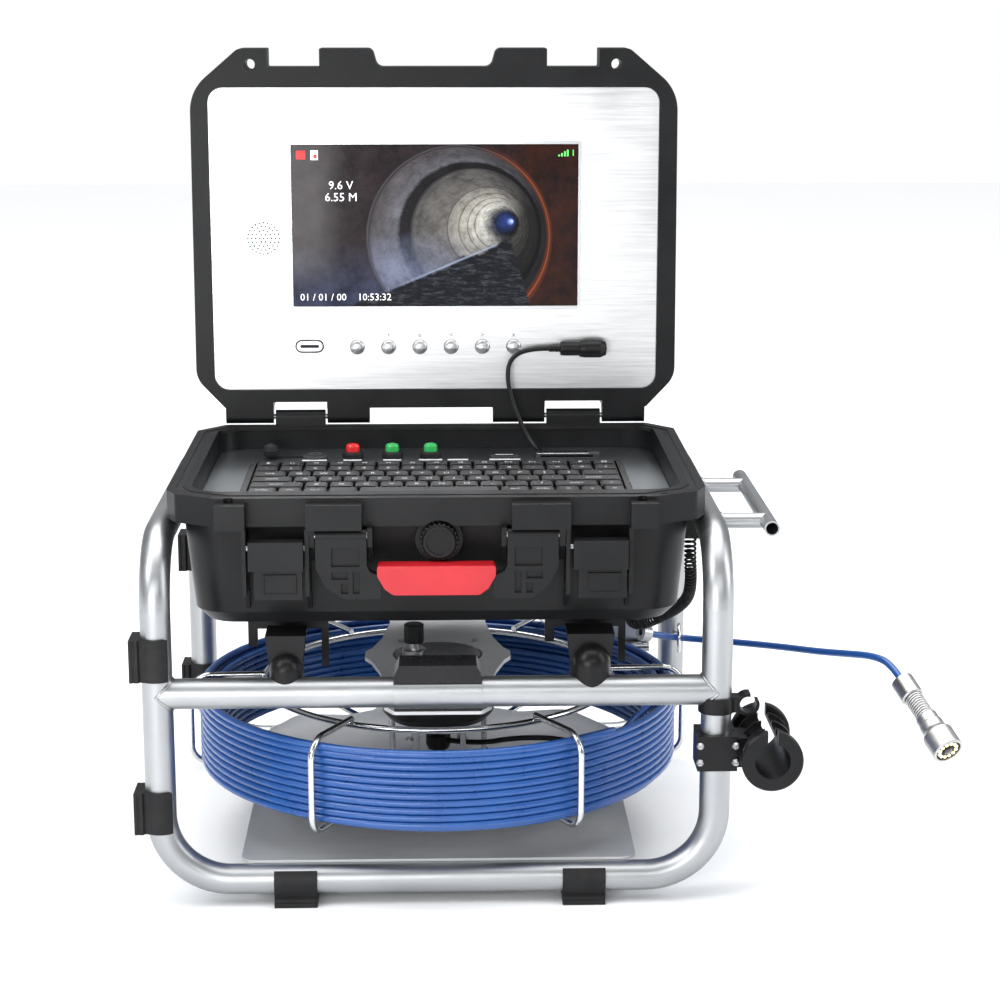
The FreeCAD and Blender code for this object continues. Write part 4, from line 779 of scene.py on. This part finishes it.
CAMERA_BACK = at(0.3403, 0.093, 0.114)
CAMERA_FACE = at(0.3649, 0.035, 0.077)
CAMERA_WAY = (CAMERA_FACE - CAMERA_BACK).normalized()
CAMERA_LONG = (CAMERA_FACE - CAMERA_BACK).length
NECK_START, NECK_END = 0.0195, 0.0403
LAMP_COUNT, LAMP_RING = 12, 0.0067
LAMP_PROFILE = [(0.0, 0.0), (0.0013, 0.0), (0.0013, 0.0005), (0.0010, 0.0009), (0.0, 0.0011)]


def make_camera_neck():
    """Close-wound spring over a dark core, between the collar and the head."""
    start = CAMERA_BACK + CAMERA_WAY * NECK_START
    end = CAMERA_BACK + CAMERA_WAY * NECK_END
    long = (end - start).length
    core = turned_shape([(0.0, 0.0), (0.0052, 0.0), (0.0052, long), (0.0, long)], start, CAMERA_WAY, 32)
    inner = finished_piece("neck_core", core, "cord", "chassis")
    line = [start + (end - start) * (i / 20) for i in range(21)]
    points = helix_round(line, 0.0063, 0.0021, 16)
    spring = cable("neck_spring", points, 0.0019, "head", "chassis", 2, 2)
    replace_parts(spring, "camera_spring")
    return [inner, spring]


def make_camera_face():
    """Lamp board, twelve lamps round the lens and the lens itself."""
    side = CAMERA_WAY.cross(Vector((0, 0, 1))).normalized()
    up = side.cross(CAMERA_WAY)
    floor = CAMERA_BACK + CAMERA_WAY * (CAMERA_LONG - 0.002)
    board = turned_shape([(0.0, 0.0), (0.0095, 0.0), (0.0095, 0.0008), (0.0042, 0.0009), (0.0042, 0.0016),
                          (0.0034, 0.0018), (0.0, 0.0018)], floor, CAMERA_WAY, 48)
    plate = finished_piece("lamp_board", board, "black", "chassis")
    lamps = bmesh.new()
    for step in range(LAMP_COUNT):
        turn = math.tau * step / LAMP_COUNT
        place = (floor + CAMERA_WAY * 0.0008 + side * (LAMP_RING * math.cos(turn))
                 + up * (LAMP_RING * math.sin(turn)))
        merge_into(lamps, turned_shape(LAMP_PROFILE, place, CAMERA_WAY, 16))
    lights = finished_piece("camera_lamps", lamps, "led", "chassis")
    dome = turned_shape([(0.0, 0.0), (0.0031, 0.0), (0.0029, 0.0004), (0.0020, 0.0009), (0.0, 0.0011)],
                        floor + CAMERA_WAY * 0.0017, CAMERA_WAY, 32)
    lens = finished_piece("camera_lens", dome, "lens", "chassis")
    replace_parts(plate, "camera_face")
    return [plate, lights, lens]


# ---------------------------------------------------------------- hub and frame details

def make_plunger_knob():
    """Knurled head on a plain steel pin."""
    low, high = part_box("plunger_knob")
    middle = Vector(((low.x + high.x) / 2, (low.y + high.y) / 2, 0.0))
    pin = turned_shape([(0.0, 0.0), (0.0024, 0.0), (0.0030, 0.0010), (0.0030, 0.0212), (0.0, 0.0212)],
                       Vector((middle.x, middle.y, low.z)), (0, 0, 1), 24)
    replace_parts(finished_piece("plunger_pin", pin, "wire", "plunger"), "plunger_knob")
    head = bmesh.new()
    teeth, radius, tall = 30, 0.0074, 0.0134
    base_z = high.z - tall
    bmesh.ops.create_circle(head, cap_ends=True, segments=teeth * 4, radius=radius)
    for vert in head.verts:
        turn = math.atan2(vert.co.y, vert.co.x)
        depth = 0.0004 * (0.5 + 0.5 * math.cos(turn * teeth)) ** 0.5
        vert.co *= (radius - depth) / radius
    top = bmesh.ops.extrude_face_region(head, geom=head.faces[:])
    raised = [v for v in top["geom"] if isinstance(v, bmesh.types.BMVert)]
    bmesh.ops.translate(head, vec=(0, 0, tall), verts=raised)
    caps = [f for f in head.faces if len(f.verts) > 4]
    bmesh.ops.inset_region(head, faces=caps, thickness=0.0007, depth=0.0005, use_even_offset=True)
    bmesh.ops.recalc_face_normals(head, faces=head.faces)
    bmesh.ops.translate(head, vec=(middle.x, middle.y, base_z), verts=head.verts)
    finished_piece("plunger_head", head, "black", "plunger", 30.0)


FRAME_BEAD, BAR_BEAD = 0.0022, 0.0018
CROSSBAR_Z = 0.1358
LOOP_HALF = 0.193
LOOP_YS = (("front", 0.0), ("rear", 0.310))
SIDE_BAR_R, SIDE_BAR_Z, SIDE_BAR_YS = 0.0055, 0.240, (0.068, 0.187)


def weld_seam(points, name, dia=FRAME_BEAD):
    """A bead of weld along a closed seam."""
    shape = bmesh.new()
    ring = []
    count = len(points)
    for index, place in enumerate(points):
        ripple = 1.0 + 0.14 * math.sin(index * 2.1)
        way = (points[(index + 1) % count] - points[index - 1]).normalized()
        loop = bmesh.ops.create_circle(shape, cap_ends=False, segments=8, radius=dia / 2 * ripple)["verts"]
        turn = way.to_track_quat("Z", "Y").to_matrix().to_4x4()
        bmesh.ops.transform(shape, matrix=Matrix.Translation(place) @ turn, verts=loop)
        ring.append(list({e for v in loop for e in v.link_edges}))
    for first, second in zip(ring, ring[1:] + ring[:1]):
        bmesh.ops.bridge_loops(shape, edges=first + second)
    bmesh.ops.recalc_face_normals(shape, faces=shape.faces)
    finished_piece(name, shape, "tube", "chassis", 60.0)


def make_welds():
    for back, y in LOOP_YS:
        for side in (-1, 1):
            seam = []
            for step in range(48):
                turn = math.tau * step / 48
                offset = TUBE_R * math.cos(turn)
                reach = LOOP_HALF - math.sqrt(max(0.0, TUBE_R ** 2 - offset ** 2))
                seam.append(at(side * reach, y + offset, CROSSBAR_Z + TUBE_R * math.sin(turn)))
            weld_seam(seam, "weld_%s_%s" % (back, "left" if side < 0 else "right"))
    for index, y in enumerate(SIDE_BAR_YS):
        seam = []
        for step in range(32):
            turn = math.tau * step / 32
            rise = SIDE_BAR_R * math.sin(turn)
            reach = LOOP_HALF + math.sqrt(TUBE_R ** 2 - rise ** 2)
            seam.append(at(reach, y + SIDE_BAR_R * math.cos(turn), SIDE_BAR_Z + rise))
        weld_seam(seam, "weld_side_bar_%d" % (index + 1), dia=BAR_BEAD)


# ---------------------------------------------------------------- marks on the panels

def text_shape(text, size, thick):
    data = bpy.data.curves.new("glyph", "FONT")
    data.body = text
    data.size = size
    data.extrude = thick / 2
    data.align_x = "CENTER"
    data.align_y = "CENTER"
    data.resolution_u = 2
    holder = bpy.data.objects.new("glyph", data)
    bpy.context.scene.collection.objects.link(holder)
    bpy.context.view_layer.update()
    mesh = bpy.data.meshes.new_from_object(holder)
    bpy.data.objects.remove(holder)
    shape = bmesh.new()
    shape.from_mesh(mesh)
    bpy.data.meshes.remove(mesh)
    return shape


def lay_flat(shape, place):
    bmesh.ops.translate(shape, vec=place, verts=shape.verts)
    return shape


def stand_up(shape, place):
    """Turns a flat glyph to face the front of the machine."""
    bmesh.ops.rotate(shape, cent=(0, 0, 0), matrix=Matrix.Rotation(math.pi / 2, 3, "X"), verts=shape.verts)
    bmesh.ops.translate(shape, vec=place, verts=shape.verts)
    return shape


KEY_ROWS = [
    ["E"] + ["F%d" % n for n in range(1, 13)] + ["P", "D"],
    ["`"] + list("1234567890-=") + ["<", "I"],
    ["TAB"] + list("QWERTYUIOP[]") + ["\\"],
    ["CAPS"] + list("ASDFGHJKL;'") + ["ENTER"],
    ["SHIFT"] + list("ZXCVBNM,./") + ["SHIFT", "^"],
    ["CTRL", "FN", "ALT", "", "", "ALT", "CTRL", "<", "v", ">"],
]
KEY_WIDTHS = [
    [1.0] * 15, [1.0] * 15, [1.4] + [1.0] * 12 + [1.6], [1.7] + [1.0] * 11 + [2.3],
    [2.2] + [1.0] * 10 + [1.8, 1.0], [1.2, 1.0, 1.0, 1.2, 5.6, 1.2, 1.0, 1.0, 0.9, 0.9],
]


def make_key_legends():
    low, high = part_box("keycaps")
    legends = bmesh.new()
    deep = (high.y - low.y + 0.0022) / 6
    left, wide = low.x - 0.0011, high.x - low.x + 0.0022
    for row, (letters, widths) in enumerate(zip(KEY_ROWS, KEY_WIDTHS)):
        unit = wide / sum(widths)
        x = left
        for letter, width in zip(letters, widths):
            if letter:
                size = 0.0062 if len(letter) == 1 else 0.0040
                place = Vector((x + width * unit / 2, high.y - (row + 0.5) * deep + 0.0008, high.z + 0.00003))
                merge_into(legends, lay_flat(text_shape(letter, size, 0.00012), place))
            x += width * unit
    finished_piece("key_legends", legends, "white", "keys")


def make_deck_marks():
    """Blank name strips in front of the buttons and sockets, and the reader's lid."""
    strips = bmesh.new()
    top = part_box("deck_panel")[1].z
    for x, y, wide in ((-0.0946, 0.2265, 0.019), (-0.0652, 0.2265, 0.014), (-0.0345, 0.2265, 0.014),
                       (-0.0047, 0.2265, 0.018), (0.0165, 0.2265, 0.016), (0.053, 0.2445, 0.014),
                       (0.053, 0.2265, 0.024)):
        low = at(x - wide / 2, y - 0.0020, 0)
        low.z = top - 0.00005
        high = at(x + wide / 2, y + 0.0020, 0)
        high.z = top + 0.0003
        merge_into(strips, bar_shape(low, high, 0.0001))
    finished_piece("deck_name_strips", strips, "white", "chassis")
    reader = at(0.0, 0.2341, 0.0)
    reader.z = top + 0.0036
    low_corner, high_corner = Vector((0.0776, -0.0049, 0)), Vector((0.1185, 0.0047, 0.0007))
    cover = bar_shape(reader + low_corner, reader + high_corner, 0.0003)
    finished_piece("card_reader_cover", cover, "wire", "chassis")


def slot_bar(middle, wide, tall, thick):
    """A standing bar with half-round ends, its back on the given point's plane."""
    shape = bmesh.new()
    bmesh.ops.create_cube(shape, size=1.0)
    bmesh.ops.scale(shape, vec=(wide, thick, tall), verts=shape.verts)
    ends = [e for e in shape.edges if abs(e.verts[0].co.y - e.verts[1].co.y) > thick / 2]
    bmesh.ops.bevel(shape, geom=ends, offset=tall * 0.499, segments=10, affect="EDGES", profile=0.5,
                    material=-1)
    bmesh.ops.translate(shape, vec=middle - Vector((0, thick / 2, 0)), verts=shape.verts)
    return shape


def make_lid_marks():
    """Small symbols over the lid's buttons, the card slot's dark outline, and painted shade in its mouth."""
    marks = bmesh.new()
    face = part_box("lid_panel")[0].y
    symbols = ["-", "+", "o", "<", ">", "x"]
    for index, symbol in enumerate(symbols):
        place = at(-0.0622 + 0.02475 * index, 0.0, 0.3425)
        place.y = face - 0.00004
        merge_into(marks, stand_up(text_shape(symbol, 0.0052, 0.00012), place))
    finished_piece("lid_symbols", marks, "ink", "lid")
    middle = at(-0.09975, 0.0, 0.3339)
    middle.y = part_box("lid_trims")[0].y
    dark = slot_bar(middle, 0.0222, 0.0100, 0.00015)
    # The slot's mouth is a flat dark bar: painted shade where the opening would be.
    merge_into(dark, slot_bar(middle - Vector((0, 0.0003, 0)), 0.0150, 0.0024, 0.00015))
    finished_piece("card_slot_outline_and_mouth_shade", dark, "black", "lid")
    rim = slot_bar(middle - Vector((0, 0.00015, 0)), 0.0204, 0.0082, 0.00015)
    finished_piece("card_slot_plate", rim, "silver", "lid")


def make_screen_marks():
    """Generic read-outs on the display: two icons, a reading, a clock and a signal mark."""
    low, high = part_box("screen_glass")
    face = low.y - 0.00006

    def spot(u, v):
        return Vector((low.x + (high.x - low.x) * u, face, low.z + (high.z - low.z) * v))

    white = bmesh.new()
    for text, size, u, v in (("9.6 V", 0.0092, 0.172, 0.748), ("6.55 M", 0.0092, 0.172, 0.675),
                             ("01 / 01 / 00", 0.0078, 0.105, 0.055), ("10:53:32", 0.0078, 0.285, 0.055)):
        merge_into(white, stand_up(text_shape(text, size, 0.0001), spot(u, v)))
    half_thick = Vector((0, 0.00005, 0))
    merge_into(white, bar_shape(spot(0.068, 0.905) - half_thick, spot(0.094, 0.965) + half_thick, 0.00003))
    finished_piece("screen_readings", white, "lit_white", "lid")
    red = bmesh.new()
    for u0, u1, v0, v1, proud in ((0.018, 0.050, 0.910, 0.962, 0.0), (0.078, 0.090, 0.915, 0.940, 0.00012)):
        low_corner = spot(u0, v0) - Vector((0, 0.00005 + proud, 0))
        high_corner = spot(u1, v1) + Vector((0, 0.00005 - proud, 0))
        merge_into(red, bar_shape(low_corner, high_corner, 0.00003))
    finished_piece("screen_icons", red, "lit_red", "lid")
    green = bmesh.new()
    merge_into(green, stand_up(text_shape("1", 0.0068, 0.0001), spot(0.982, 0.945)))
    for index in range(4):
        u = 0.93 + index * 0.010
        low_corner = spot(u, 0.925) - Vector((0, 0.00005, 0))
        high_corner = spot(u + 0.006, 0.935 + index * 0.010) + Vector((0, 0.00005, 0))
        merge_into(green, bar_shape(low_corner, high_corner, 0.00003))
    finished_piece("screen_signal", green, "lit_green", "lid")


# ---------------------------------------------------------------- floor

def lay_floor():
    shape = bmesh.new()
    bmesh.ops.create_grid(shape, x_segments=2, y_segments=2, size=6.0)
    mesh = bpy.data.meshes.new("floor")
    shape.to_mesh(mesh)
    shape.free()
    finish = new_finish("floor_paint", (0.86, 0.87, 0.88), 0.7)
    mottle = grain(finish, 3.0, 3.0)
    colour_by(finish, ranged(finish, mottle, 0.0, 1.0), (0.855, 0.865, 0.875), (0.87, 0.88, 0.89))
    mesh.materials.append(finish)
    floor = bpy.data.objects.new("floor", mesh)
    bpy.context.scene.collection.objects.link(floor)


set_camera()
wind_cable()
lay_push_cable([NODES["camera_housing"]] + make_camera_neck() + make_camera_face())
hang_curly_cord()
lay_lid_cord()
finish_cad_pieces()
make_plunger_knob()
make_welds()
make_key_legends()
make_deck_marks()
make_lid_marks()
make_screen_marks()
lay_floor()
set_studio()
